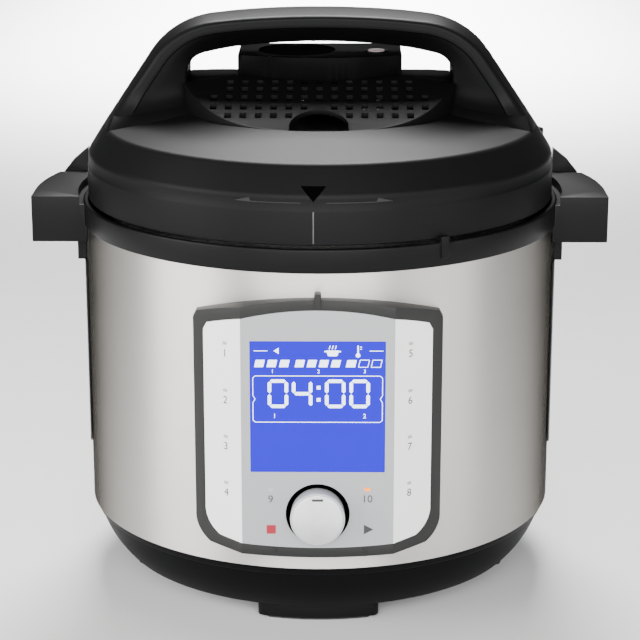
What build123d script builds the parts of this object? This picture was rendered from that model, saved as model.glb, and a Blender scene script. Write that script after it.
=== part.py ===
"""Electric pressure cooker with a bayonet lid, an arched lid handle and a faceted control panel.

Millimetres, +Z up, the front faces -Y. The origin is on the table, on the cooker's axis.
"""

import os
from math import atan, atan2, cos, degrees, radians, sin, tan

from build123d import *

os.makedirs("parts", exist_ok=True)

# ---------------------------------------------------------------- driving sizes
# Cooking pot and the vessel around it
pot_radius = 110.0
pot_depth = 160.0
pot_wall = 1.0
pot_base = 2.5
pot_corner = 8.0
pot_gap = 2.0
vessel_wall = 1.5
vessel_drop = 12.5
vessel_corner = 9.0
flange_reach = 4.0
flange_thickness = 3.0
brim_thickness = 1.2

# Clearances
fit_gap = 0.3
seat_gap = 0.2
slide_gap = 0.5

# Bayonet
tooth_count = 6
tooth_angle = 22.0
tooth_reach = 3.5
tooth_play = 0.8
tooth_thickness = 3.2
bayonet_clearance = 1.2

# Housing
foot_height = 11.5
base_height = 30.5
base_inset = 19.4
base_wall = 3.0
base_floor = 3.0
base_band = 4.4
base_lip = 7.0
belly_inset = 9.6
belly_drop = 15.0
band_step = 0.6
band_taper = 1.7
hem_width = 2.2
hem_height = 1.2
hem_bend = (1.3, 0.35)
vessel_sink = 3.0
wrap_reach = 12.3
wrap_wall = 1.0
ring_height = 13.1
ring_proud = 1.0
ring_wall = 2.8
ring_rise = 9.9
channel_depth = 24.0
mark_width = 5.0
mark_angle = 29.2
mark_height = 12.0
mark_drop = 8.6
mark_proud = 1.2
drain_size = (8.0, 5.0)

# Base pieces
cover_radius = 104.0
cover_thickness = 1.5
cover_ledge = 6.0
vent_rings = (28.0, 40.0, 52.0)
vent_size = (14.0, 3.0)
foot_circle_inset = 4.6
foot_length = 74.0
foot_depth = 19.0
pad_height = 1.5
pad_inset = 2.0
foot_corner = 4.0
post_radius = 4.5
post_circle = 98.5
screw_radius = 1.8
screw_head_radius = 3.4
screw_head = 1.4
screw_length = 12.0
screw_hole_depth = 14.0

# Power board
board_size = (92.0, 50.0)
board_centre = (0.0, 52.0)
board_lift = 5.0
board_thickness = 1.6
standoff_radius = 3.0
standoff_inset = 4.0
relay_size = (28.0, 12.5)
converter_size = (22.0, 20.0)
relay_height = 13.0

# Heater and temperature sensor
heater_radius = 86.0
heater_thickness = 8.5
heater_post_radius = 5.0
heater_post_circle = 60.0
element_circle = 64.0
terminal_radius = 2.6
terminal_length = 12.0
spring_wire = 1.4
spring_turns = 4
sensor_radius = 13.5
sensor_thickness = 5.5
sensor_stem = 4.0
sensor_travel = 1.5
holder_radius = 14.0
holder_depth = 9.0

# Control panel
panel_proud = 6.0
panel_top_margin = 13.0
panel_bottom_margin = 9.3
panel_half_width = 67.0
panel_arch = 10.0
panel_sag = 9.0
panel_corner = (8.0, 20.0)
panel_corner_bend = (1.7, 11.5)
facet_half_width = 41.0
facet_angle = 34.0
overlay_lip = 5.4
overlay_thickness = 1.2
backing_thickness = 3.0
cutout_margin = 6.5
screen_half_width = 36.0
screen_bottom = 49.5
screen_top_margin = 22.5
screen_depth = 7.0
dial_rise = 25.2
dial_well_radius = 17.3
dial_radius = 14.4
dial_length = 11.0
dial_face_proud = 9.0
dial_press = 1.0
shaft_radius = 3.0
encoder_size = 13.0

# Side handles
grip_reach = 27.5
grip_front = 30.0
grip_back = 38.0
grip_height = 26.5
grip_straight = 22.0
grip_curl = 8.3
grip_rise = 3.9
grip_wall = 3.0
fin_slot_width = 7.0
hump_length = 9.0
hump_rise = 13.0
mount_half_width = 22.0
mount_proud = 4.0
mount_centre = 4.0
tail_rise = 34.0
tail_half_width = 28.0
tail_proud = 1.0
tail_corner = 7.0

# Rear pieces
cup_width = 62.0
cup_height = 56.0
cup_wall = 1.6
cup_rim = 4.5
cup_corner = 3.0
rail_height = 4.0
cup_top_margin = 12.0
bracket_thickness = 2.5
inlet_width = 30.0
inlet_height = 23.0
inlet_rise = 23.0
inlet_depth = 15.0
inlet_border = 4.0
inlet_proud = 3.5
pin_size = (2.0, 4.0)
pin_spots = ((-7.0, 0.0), (7.0, 0.0), (0.0, 3.0))

# Lid
lid_gap = 1.4
lid_inset = 2.0
skirt_height = 19.0
skirt_step = 0.6
shoulder_height = 7.0
lid_wall = 3.2
cone_slope = 0.672
platform_height = 41.3
platform_pitch = 11.6
hub_radius = 80.0
hub_seat_depth = 3.8
hub_crown = 19.6
hub_side_fall = 4.0
hub_wall = 2.4
arch_half_width = 22.0
bar_thickness = 17.3
shoulder_drop = 7.0
shoulder_radius = 48.0
cap_thickness = 8.0
channel_thickness = 6.5
opening_half_width = 77.6
opening_rise = 47.7
opening_drop = 8.0
opening_corner = 12.0
block_half_width = 47.0
block_bow = 12.0
block_front = 8.0
block_back = 36.0
block_height = 10.8
button_radius = 22.0
button_thickness = 5.0
button_offset = (-13.5, 12.0)
button_travel = 3.0
float_offset = (32.5, 6.0)
float_radius = 5.0
float_travel = 4.0
pipe_radius = 6.0
pipe_bore = 3.0
pipe_reach = 14.0
shield_gap = 8.0
shield_height = 17.0
shield_wall = 1.5
shield_holes = (13.0, 8.5)
fin_angle = 27.0
fin_reach = 15.0
fin_width = 14.0
fin_height = 8.0
fin_rise = 17.5
slot_columns = (6, 6, 7, 7, 6)
slot_size = (3.6, 5.2)
slot_pitch = (8.45, 8.5)
notch_width = 32.5
notch_reach = 29.0
plate_wall = 1.5
plate_dome_radius = 84.0
plate_dome_height = 35.0
lid_screw_circle = 62.0
seal_height = 11.5
seal_width = 13.0

# ---------------------------------------------------------------- worked-out places
pot_outside = pot_radius + pot_wall
vessel_inside = pot_outside + pot_gap
vessel_outside = vessel_inside + vessel_wall
flange_radius = vessel_outside + flange_reach
lug_radius = flange_radius + tooth_reach
plate_inside = lug_radius + bayonet_clearance
plate_outside = plate_inside + plate_wall
body_radius = plate_outside + wrap_reach
wrap_inside = body_radius - wrap_wall
ring_radius = body_radius + ring_proud

base_bottom = foot_height
wrap_bottom = base_bottom + base_height
vessel_floor = wrap_bottom - vessel_sink
pot_floor = vessel_floor + vessel_drop
brim_top = pot_floor + pot_depth + brim_thickness
brim_bottom = brim_top - brim_thickness
flange_top = brim_bottom - fit_gap
flange_bottom = flange_top - flange_thickness
ring_top = brim_top + ring_rise
wrap_top = ring_top - ring_height
channel_floor = ring_top - channel_depth
lid_bottom = ring_top + lid_gap
lid_radius = body_radius - lid_inset

panel_y = -(body_radius + panel_proud)
panel_top = wrap_top - panel_top_margin
panel_bottom = wrap_bottom + panel_bottom_margin
dial_z = panel_bottom + dial_rise
screen_z = panel_bottom + screen_bottom
screen_height = panel_top - screen_top_margin - screen_z
dial_face_y = panel_y - dial_face_proud
reach_back = -dial_face_y

cone_angle = degrees(atan(cone_slope))
cone_top = lid_bottom + skirt_height + shoulder_height
platform_z = lid_bottom + platform_height
platform_radius = lid_radius - (platform_z - cone_top) * cone_slope
hub_edge_z = platform_z + (platform_radius - hub_radius) * tan(radians(platform_pitch))
hub_seat_z = hub_edge_z - hub_seat_depth
hub_top_z = hub_edge_z + hub_crown
block_top = hub_top_z + block_height
opening_top = platform_z + opening_rise
plate_top = lid_bottom + plate_dome_height + plate_wall
hub_inner_x = opening_half_width - seat_gap - fit_gap


def save(builder, label):
    """Labels a finished piece and writes its STEP file."""
    builder.part.label = label
    export_step(builder.part, f"parts/{label}.step")


def section(*points):
    """Closed face through the given points of the sketch that is open."""
    with BuildLine() as edge:
        Polyline(*points, close=True)
    make_face(edge.edges())


def polar(radius, angle):
    """Point in plan at a radius and an azimuth in degrees."""
    return (radius * cos(radians(angle)), radius * sin(radians(angle)))


def sector(inner, outer, half_angle):
    """Ring sector about +X, as a sketch to be added where it is wanted."""
    with BuildSketch() as piece:
        with BuildLine():
            Line(polar(inner, -half_angle), polar(outer, -half_angle))
            ThreePointArc(polar(outer, -half_angle), (outer, 0), polar(outer, half_angle))
            Line(polar(outer, half_angle), polar(inner, half_angle))
            ThreePointArc(polar(inner, half_angle), (inner, 0), polar(inner, -half_angle))
        make_face()
    return piece.sketch


# ================================================================ cooking pot and vessel
with BuildPart() as inner_pot:
    with BuildSketch(Plane.XZ) as pot_section:
        section(
            (0, pot_floor),
            (pot_outside, pot_floor),
            (pot_outside, brim_bottom),
            (flange_radius - 1.0, brim_bottom),
            (flange_radius - 1.0, brim_top),
            (pot_radius, brim_top),
            (pot_radius, pot_floor + pot_base),
            (0, pot_floor + pot_base),
        )
        bottom_corners = pot_section.vertices().filter_by(lambda v: v.X > pot_radius - 1)
        fillet(bottom_corners.filter_by(lambda v: abs(v.Y - pot_floor) < 0.01), pot_corner)
        inside = pot_section.vertices().filter_by(lambda v: abs(v.X - pot_radius) < 0.01)
        fillet(inside.filter_by(lambda v: v.Y < pot_floor + pot_base + 1), pot_corner - pot_wall)
    revolve(axis=Axis.Z)
save(inner_pot, "inner_pot")

lug = sector(flange_radius - 1.0, lug_radius, tooth_angle / 2)
with BuildPart() as outer_vessel:
    with BuildSketch(Plane.XZ) as vessel_section:
        section(
            (holder_radius - 2.0, vessel_floor - vessel_wall),
            (vessel_outside, vessel_floor - vessel_wall),
            (vessel_outside, flange_bottom),
            (flange_radius, flange_bottom),
            (flange_radius, flange_top),
            (vessel_inside, flange_top),
            (vessel_inside, vessel_floor),
            (holder_radius - 2.0, vessel_floor),
        )
        low = vessel_section.vertices().filter_by(lambda v: v.Y < vessel_floor + 1 and v.X > pot_radius)
        fillet(low.filter_by(lambda v: v.X > vessel_inside + 0.1), vessel_corner)
        low = vessel_section.vertices().filter_by(lambda v: abs(v.X - vessel_inside) < 0.01)
        fillet(low.filter_by(lambda v: v.Y < vessel_floor + 1), vessel_corner - vessel_wall)
    revolve(axis=Axis.Z)
    with BuildSketch(Plane.XY.offset(flange_bottom)):
        with PolarLocations(0, tooth_count):
            add(lug)
    extrude(amount=flange_thickness)
save(outer_vessel, "outer_vessel")

# ================================================================ heater and temperature sensor
heater_top = pot_floor - fit_gap
heater_bottom = heater_top - heater_thickness
with BuildPart() as heating_plate:
    with BuildSketch(Plane.XY.offset(heater_bottom)):
        Circle(heater_radius)
        Circle(sensor_radius + 1.2, mode=Mode.SUBTRACT)
    extrude(amount=heater_thickness)
    chamfer(heating_plate.edges().filter_by(GeomType.CIRCLE).group_by(Axis.Z)[-1], 0.8)
save(heating_plate, "heating_plate")

with BuildPart() as heater_posts:
    with BuildSketch(Plane.XY.offset(vessel_floor)):
        with PolarLocations(heater_post_circle, 3, start_angle=30):
            Circle(heater_post_radius)
    extrude(amount=heater_bottom - vessel_floor)
save(heater_posts, "heater_posts")

with BuildPart() as heater_terminals:
    with BuildSketch(Plane.XY.offset(vessel_floor - vessel_wall - terminal_length)):
        with PolarLocations(element_circle, 2, start_angle=-100, angular_range=20):
            Circle(terminal_radius)
    extrude(amount=terminal_length)
save(heater_terminals, "heater_terminals")

sensor_low = heater_top - sensor_thickness
with BuildPart() as temperature_sensor:
    with BuildSketch(Plane.XY.offset(sensor_low)):
        Circle(sensor_radius)
    extrude(amount=sensor_thickness)
    chamfer(temperature_sensor.edges().group_by(Axis.Z)[-1], 0.8)
    with BuildSketch(Plane.XY.offset(vessel_floor - vessel_wall - holder_depth + 0.5)):
        Circle(sensor_stem)
    extrude(until=Until.NEXT)
save(temperature_sensor, "temperature_sensor")

holder_top = vessel_floor - vessel_wall
with BuildPart() as sensor_holder:
    with BuildSketch(Plane.XY.offset(holder_top - holder_depth)):
        Circle(holder_radius + 2.5)
    extrude(amount=holder_depth)
    with BuildSketch(Plane.XY.offset(holder_top - holder_depth + 2.5)):
        Circle(holder_radius - 3.0)
    extrude(amount=holder_depth, mode=Mode.SUBTRACT)
    with BuildSketch(Plane.XY.offset(holder_top - holder_depth)):
        Circle(sensor_stem + fit_gap)
    extrude(amount=holder_depth, mode=Mode.SUBTRACT)
save(sensor_holder, "sensor_holder")

spring_low = holder_top - holder_depth + 2.5 + 1.2
spring_high = sensor_low - 1.2
with BuildPart() as sensor_spring:
    with BuildLine():
        coil = Helix(
            pitch=(spring_high - spring_low) / spring_turns,
            height=spring_high - spring_low,
            radius=sensor_stem + 3.2,
            center=(0, 0, spring_low),
        )
    with BuildSketch(Plane(origin=coil @ 0, z_dir=coil % 0)):
        Circle(spring_wire / 2)
    sweep(is_frenet=True)
save(sensor_spring, "sensor_spring")

# ================================================================ base
base_radius = body_radius - base_inset
band_low = wrap_bottom - base_band
band_radius = body_radius - 0.5
lip_outside = wrap_inside - seat_gap
with BuildPart() as base_shell:
    with BuildSketch(Plane.XZ):
        with BuildLine():
            Polyline(
                (lip_outside - base_wall, wrap_bottom + base_lip),
                (lip_outside, wrap_bottom + base_lip),
                (lip_outside, wrap_bottom),
                (band_radius, wrap_bottom),
                (band_radius - band_taper, band_low),
                (band_radius - band_taper - 2 * band_step, band_low - band_step),
            )
            ThreePointArc(
                (band_radius - band_taper - 2 * band_step, band_low - band_step),
                (body_radius - belly_inset, band_low - belly_drop),
                (base_radius + hem_width, base_bottom + hem_height),
            )
            ThreePointArc(
                (base_radius + hem_width, base_bottom + hem_height),
                (base_radius + hem_bend[0], base_bottom + hem_bend[1]),
                (base_radius, base_bottom),
            )
            Polyline(
                (base_radius, base_bottom),
                (cover_radius, base_bottom),
                (cover_radius, base_bottom + cover_thickness),
                (cover_radius - cover_ledge, base_bottom + cover_thickness),
                (cover_radius - cover_ledge, base_bottom + base_floor),
                (base_radius, base_bottom + base_floor),
            )
            ThreePointArc(
                (base_radius, base_bottom + base_floor),
                (body_radius - belly_inset - base_wall, band_low - belly_drop),
                (lip_outside - base_wall, band_low),
            )
            Line((lip_outside - base_wall, band_low), (lip_outside - base_wall, wrap_bottom + base_lip))
        make_face()
    revolve(axis=Axis.Z)
    with BuildSketch(Plane.XY.offset(base_bottom + cover_thickness)):
        with PolarLocations(post_circle, 4, start_angle=45):
            Circle(post_radius)
    extrude(amount=vessel_floor - vessel_wall - base_bottom - cover_thickness)
    with BuildSketch(Plane.XY.offset(base_bottom)):
        with PolarLocations(post_circle, 4, start_angle=45):
            Circle(screw_radius + 0.1)
    extrude(amount=screw_hole_depth, mode=Mode.SUBTRACT)
save(base_shell, "base_shell")

with BuildPart() as bottom_cover:
    with BuildSketch(Plane.XY.offset(base_bottom)):
        Circle(cover_radius - seat_gap)
        with PolarLocations(post_circle, 4, start_angle=45):
            Circle(screw_radius + 0.3, mode=Mode.SUBTRACT)
        for ring in vent_rings:
            with PolarLocations(ring, 8):
                SlotOverall(*vent_size, rotation=90, mode=Mode.SUBTRACT)
    extrude(amount=cover_thickness)
save(bottom_cover, "bottom_cover")

with BuildPart() as bottom_screws:
    with BuildSketch(Plane.XY.offset(base_bottom - screw_head)):
        with PolarLocations(post_circle, 4, start_angle=45):
            Circle(screw_head_radius)
    extrude(amount=screw_head)
    with BuildSketch(Plane.XY.offset(base_bottom)):
        with PolarLocations(post_circle, 4, start_angle=45):
            Circle(screw_radius)
    extrude(amount=screw_length)
save(bottom_screws, "bottom_screws")

foot_outside = base_radius - foot_circle_inset
foot_half_angle = degrees(atan2(foot_length / 2, foot_outside))
foot_plan = sector(foot_outside - foot_depth, foot_outside, foot_half_angle)
pad_plan = sector(foot_outside - foot_depth + pad_inset, foot_outside - pad_inset, foot_half_angle - 2.5)
with BuildPart() as feet:
    with BuildSketch(Plane.XY.offset(pad_height)):
        with PolarLocations(0, 4):
            add(foot_plan)
    extrude(amount=base_bottom - pad_height)
    fillet(feet.edges().filter_by(Axis.Z), foot_corner)
save(feet, "feet")

with BuildPart() as foot_pads:
    with BuildSketch():
        with PolarLocations(0, 4):
            add(pad_plan)
    extrude(amount=pad_height)
    fillet(foot_pads.edges().filter_by(Axis.Z), foot_corner - 1.0)
save(foot_pads, "foot_pads")

board_z = base_bottom + cover_thickness + board_lift
with BuildPart() as power_board:
    with BuildSketch(Plane.XY.offset(board_z)):
        with Locations(board_centre):
            Rectangle(*board_size)
    extrude(amount=board_thickness)
save(power_board, "power_board")

with BuildPart() as board_standoffs:
    with BuildSketch(Plane.XY.offset(base_bottom + cover_thickness)):
        with Locations(board_centre):
            with GridLocations(board_size[0] - 2 * standoff_inset, board_size[1] - 2 * standoff_inset, 2, 2):
                Circle(standoff_radius)
    extrude(amount=board_z - base_bottom - cover_thickness)
save(board_standoffs, "board_standoffs")

with BuildPart() as power_relay:
    with BuildSketch(Plane.XY.offset(board_z + board_thickness)):
        with Locations((board_centre[0] - 26.0, board_centre[1])):
            Rectangle(*relay_size)
        with Locations((board_centre[0] + 26.0, board_centre[1] + 6.0)):
            Rectangle(*converter_size)
    extrude(amount=relay_height)
save(power_relay, "power_relay")

# ================================================================ steel wrap and top ring
cutout_half = panel_half_width - cutout_margin
drain_width = drain_size[0]
plate_low = channel_floor - 12.0
grip_screw_z = plate_low + 5.0
grip_screw_angles = (-5.0, 9.0)
with BuildPart() as steel_wrap:
    with BuildSketch(Plane.XY.offset(wrap_bottom)):
        Circle(body_radius)
        Circle(wrap_inside, mode=Mode.SUBTRACT)
    extrude(amount=wrap_top - wrap_bottom)
    with BuildSketch(Plane.XZ):
        with Locations((0, (panel_top + panel_bottom) / 2)):
            RectangleRounded(2 * cutout_half, panel_top - panel_bottom - 2 * cutout_margin - 8.0, 6.0)
    extrude(amount=body_radius + 1, mode=Mode.SUBTRACT)
    with BuildSketch(Plane.XZ):
        with Locations((0, wrap_bottom + inlet_rise)):
            Rectangle(inlet_width + 2 * seat_gap, inlet_height + 2 * seat_gap)
    extrude(amount=-(body_radius + 1), mode=Mode.SUBTRACT)
    for side in (0.0, 180.0):
        for turn in grip_screw_angles:
            angle = side + turn if side == 0.0 else side - turn
            with Locations(Location((0, 0, grip_screw_z), (0, 0, angle))):
                Cylinder(
                    screw_radius + 0.2,
                    body_radius + 1,
                    rotation=(0, 90, 0),
                    align=(Align.CENTER, Align.CENTER, Align.MIN),
                    mode=Mode.SUBTRACT,
                )
    with BuildSketch(Plane.XZ):
        with Locations((0, channel_floor + 3.0)):
            Rectangle(*drain_size)
    extrude(amount=-(body_radius + 1), mode=Mode.SUBTRACT)
save(steel_wrap, "steel_wrap")

ring_inside = ring_radius - ring_wall
ring_foot = wrap_inside - seat_gap
mark_plan = sector(ring_inside + mark_proud, ring_radius + mark_proud, degrees(mark_width / 2 / ring_radius))
with BuildPart() as top_ring:
    with BuildSketch(Plane.XZ):
        section(
            (ring_inside, ring_top),
            (ring_radius - 0.6, ring_top),
            (ring_radius, ring_top - 0.6),
            (ring_radius, wrap_top),
            (ring_foot, wrap_top),
            (ring_foot, channel_floor - 2.0),
            (vessel_outside + seat_gap, channel_floor - 2.0),
            (vessel_outside + seat_gap, flange_bottom - 1.0),
            (vessel_outside + seat_gap + 1.6, flange_bottom - 1.0),
            (vessel_outside + seat_gap + 1.6, channel_floor),
            (ring_foot - ring_wall, channel_floor),
            (ring_foot - ring_wall, wrap_top + 1.0),
            (ring_inside, wrap_top + 4.0),
        )
    revolve(axis=Axis.Z)
    with BuildSketch(Plane.XY.offset(ring_top - mark_drop)):
        with PolarLocations(0, 1, start_angle=mark_angle - 90):
            add(mark_plan)
    extrude(amount=mark_height)
    with BuildSketch(Plane.XZ.offset(-flange_radius)):
        with Locations((0, channel_floor + 2.5)):
            Rectangle(*drain_size)
    extrude(amount=-(ring_radius - flange_radius), mode=Mode.SUBTRACT)
save(top_ring, "top_ring")


def panel_outline(inset):
    """Front view of the control panel, smaller by inset all round, in the sketch that is open."""
    half = panel_half_width - inset
    high = panel_top - inset
    low = panel_bottom + inset
    with BuildLine() as edge:
        ThreePointArc((-half + 2.0, high - panel_arch), (0, high), (half - 2.0, high - panel_arch))
        Polyline(
            (half - 2.0, high - panel_arch),
            (half, high - panel_arch - 4.0),
            (half, low + panel_corner[1]),
        )
        ThreePointArc(
            (half, low + panel_corner[1]),
            (half - panel_corner_bend[0], low + panel_corner_bend[1]),
            (half - panel_corner[0], low + panel_sag / 2),
        )
        ThreePointArc((half - panel_corner[0], low + panel_sag / 2), (0, low), (-half + panel_corner[0], low + panel_sag / 2))
        ThreePointArc(
            (-half + panel_corner[0], low + panel_sag / 2),
            (-half + panel_corner_bend[0], low + panel_corner_bend[1]),
            (-half, low + panel_corner[1]),
        )
        Polyline(
            (-half, low + panel_corner[1]),
            (-half, high - panel_arch - 4.0),
            (-half + 2.0, high - panel_arch),
        )
    make_face(edge.edges())


def slab(front, back, inset):
    """Faceted slab between two depths behind the panel's face, within its outline less inset."""
    edge = panel_half_width + 3.0
    fall = (edge - facet_half_width) * tan(radians(facet_angle))
    with BuildPart() as piece:
        with BuildSketch(Plane.XY.offset(panel_bottom - 1)):
            section(
                (-edge, panel_y + fall + back),
                (-edge, panel_y + fall + front),
                (-facet_half_width, panel_y + front),
                (facet_half_width, panel_y + front),
                (edge, panel_y + fall + front),
                (edge, panel_y + fall + back),
                (facet_half_width, panel_y + back),
                (-facet_half_width, panel_y + back),
            )
        extrude(amount=panel_top - panel_bottom + 2)
        with BuildSketch(Plane.XZ.offset(vessel_outside - 40.0)):
            panel_outline(inset)
        extrude(amount=100.0, mode=Mode.INTERSECT)
    return piece.part


panel_skin = overlay_thickness + backing_thickness
well_floor = 3.5
well_wall = 2.0
board_front = vessel_outside + 7.0
boss_spots = [(x, z) for x in (-46.0, 46.0) for z in (panel_bottom + 17.0, panel_top - 17.0)]
screen_centre = (0, screen_z + screen_height / 2)
module_half_width = screen_half_width + 2.0
module_height = screen_height + 4.0
panel_face = Plane.XZ.offset(-panel_y)

rim_slab = slab(0, 40.0, 0)
hollow_slab = slab(panel_skin, 60.0, 3.2)
recess_slab = slab(-1.0, overlay_thickness, overlay_lip)
with BuildPart() as panel_bezel:
    add(rim_slab)
    add(hollow_slab, mode=Mode.SUBTRACT)
    add(recess_slab, mode=Mode.SUBTRACT)
    with BuildSketch(Plane.XY.offset(panel_bottom - 1)):
        Circle(body_radius + seat_gap)
    extrude(amount=panel_top - panel_bottom + 2, mode=Mode.SUBTRACT)
    with BuildSketch(panel_face):
        with Locations(screen_centre):
            Rectangle(2 * module_half_width + 2 * seat_gap, module_height + 2 * seat_gap)
    extrude(amount=-panel_skin - 1, mode=Mode.SUBTRACT)
    with BuildSketch(panel_face.offset(-overlay_thickness)):
        with Locations((0, dial_z)):
            Circle(dial_well_radius + well_wall)
    extrude(amount=-(well_floor + well_wall - overlay_thickness))
    with BuildSketch(panel_face):
        with Locations((0, dial_z)):
            Circle(dial_well_radius)
    extrude(amount=-well_floor, mode=Mode.SUBTRACT)
    with BuildSketch(panel_face):
        with Locations((0, dial_z)):
            Circle(5.2)
    extrude(amount=-12.0, mode=Mode.SUBTRACT)
    with BuildSketch(Plane.XZ.offset(board_front)):
        with Locations(boss_spots):
            Circle(3.0)
    extrude(amount=-panel_y - board_front - 7.0)
save(panel_bezel, "panel_bezel")

overlay_slab = slab(0, overlay_thickness, overlay_lip + seat_gap)
with BuildPart() as panel_overlay:
    add(overlay_slab)
    with BuildSketch(panel_face.offset(1)):
        with Locations(screen_centre):
            Rectangle(2 * screen_half_width + 0.2, screen_height + 0.2)
        with Locations((0, dial_z)):
            Circle(dial_well_radius)
    extrude(amount=-overlay_thickness - 2, mode=Mode.SUBTRACT)
save(panel_overlay, "panel_overlay")

with BuildPart() as display_window:
    with BuildSketch(panel_face):
        with Locations(screen_centre):
            Rectangle(2 * screen_half_width, screen_height)
    extrude(amount=-overlay_thickness)
save(display_window, "display_window")

with BuildPart() as display_module:
    with BuildSketch(panel_face.offset(-overlay_thickness)):
        with Locations(screen_centre):
            Rectangle(2 * module_half_width, module_height)
    extrude(amount=-screen_depth)
save(display_module, "display_module")

module_back = -panel_y - overlay_thickness - screen_depth
with BuildPart() as control_board:
    with BuildSketch(Plane.XZ.offset(board_front)):
        with Locations((0, (panel_top + panel_bottom) / 2)):
            Rectangle(104.0, panel_top - panel_bottom - 26.0)
    extrude(amount=-board_thickness)
save(control_board, "control_board")

with BuildPart() as display_spacers:
    with BuildSketch(Plane.XZ.offset(board_front)):
        with Locations(screen_centre):
            with GridLocations(2 * screen_half_width - 8.0, screen_height - 8.0, 2, 2):
                Circle(2.5)
    extrude(amount=module_back - board_front)
save(display_spacers, "display_spacers")

encoder_depth = 6.5
with BuildPart() as encoder_body:
    with BuildSketch(Plane.XZ.offset(board_front)):
        with Locations((0, dial_z)):
            Rectangle(encoder_size, encoder_size)
    extrude(amount=encoder_depth)
    with BuildSketch(Plane.XZ.offset(board_front + encoder_depth)):
        with Locations((0, dial_z)):
            Circle(4.6)
    extrude(amount=-panel_y - well_floor - board_front - encoder_depth - 0.6)
    with BuildSketch(Plane.XZ.offset(board_front + 1.0)):
        with Locations((0, dial_z)):
            Circle(4.7)
    extrude(amount=encoder_depth - 2.2, mode=Mode.SUBTRACT)
    with BuildSketch(Plane.XZ.offset(board_front + 1.0)):
        with Locations((0, dial_z)):
            Circle(shaft_radius + 0.06)
    extrude(amount=30.0, mode=Mode.SUBTRACT)
save(encoder_body, "encoder_body")

with BuildPart() as encoder_rotor:
    with BuildSketch(Plane.XZ.offset(board_front + 1.5)):
        with Locations((0, dial_z)):
            Circle(4.4)
            Circle(shaft_radius + 0.06, mode=Mode.SUBTRACT)
    extrude(amount=encoder_depth - 3.2)
save(encoder_rotor, "encoder_rotor")

dial_back = -dial_face_y - dial_length
with BuildPart() as dial_shaft:
    with BuildSketch(Plane.XZ.offset(board_front + 2.4)):
        with Locations((0, dial_z)):
            Circle(shaft_radius)
    extrude(amount=-dial_face_y - 3.0 - board_front - 2.4)
save(dial_shaft, "dial_shaft")

with BuildPart() as control_dial:
    with BuildSketch(Plane.XZ.offset(dial_back)):
        with Locations((0, dial_z)):
            Circle(dial_radius)
    extrude(amount=dial_length - 0.6)
    chamfer(control_dial.edges().filter_by(GeomType.CIRCLE).group_by(Axis.Y)[0], 0.8)
    with BuildSketch(Plane.XZ.offset(dial_back)):
        with Locations((0, dial_z)):
            Circle(dial_radius - 2.2)
            Circle(shaft_radius + 2.0, mode=Mode.SUBTRACT)
    extrude(amount=dial_length - 4.0, mode=Mode.SUBTRACT)
    with BuildSketch(Plane.XZ.offset(dial_back)):
        with Locations((0, dial_z)):
            Circle(shaft_radius)
    extrude(amount=dial_length - 3.0, mode=Mode.SUBTRACT)
save(control_dial, "control_dial")

with BuildPart() as dial_cap:
    with BuildSketch(Plane.XZ.offset(-dial_face_y - 0.6)):
        with Locations((0, dial_z)):
            Circle(dial_radius - 1.4)
    extrude(amount=0.6)
save(dial_cap, "dial_cap")

# ================================================================ side handles
grip_x = ring_radius + grip_reach
grip_top = ring_top + grip_rise
grip_bottom = grip_top - grip_height
grip_end = grip_back + fin_slot_width + hump_length
lid_sweep = lid_radius + 6.0
tail_low = wrap_bottom + tail_rise
tail_plan = sector(
    body_radius + seat_gap, body_radius + tail_proud + seat_gap, degrees(tail_half_width / body_radius)
)


def grip_plan(inset):
    """Plan of the right grip, smaller by inset, in the sketch that is open."""
    front = -grip_front + inset
    with BuildLine() as edge:
        side = -grip_front + grip_straight
        Line((body_radius - 12.0, front), (grip_x - inset, front))
        Line((grip_x - inset, front), (grip_x - inset, side))
        ThreePointArc(
            (grip_x - inset, side),
            (grip_x - 0.26 * grip_curl - inset, (side + grip_back) / 2),
            (grip_x - grip_curl - inset, grip_back),
        )
        Polyline(
            (grip_x - grip_curl - inset, grip_back),
            (grip_x - grip_curl - 7.0 - inset, grip_end - inset),
            (body_radius - 12.0, grip_end - inset),
            (body_radius - 12.0, front),
        )
    make_face(edge.edges())


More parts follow.
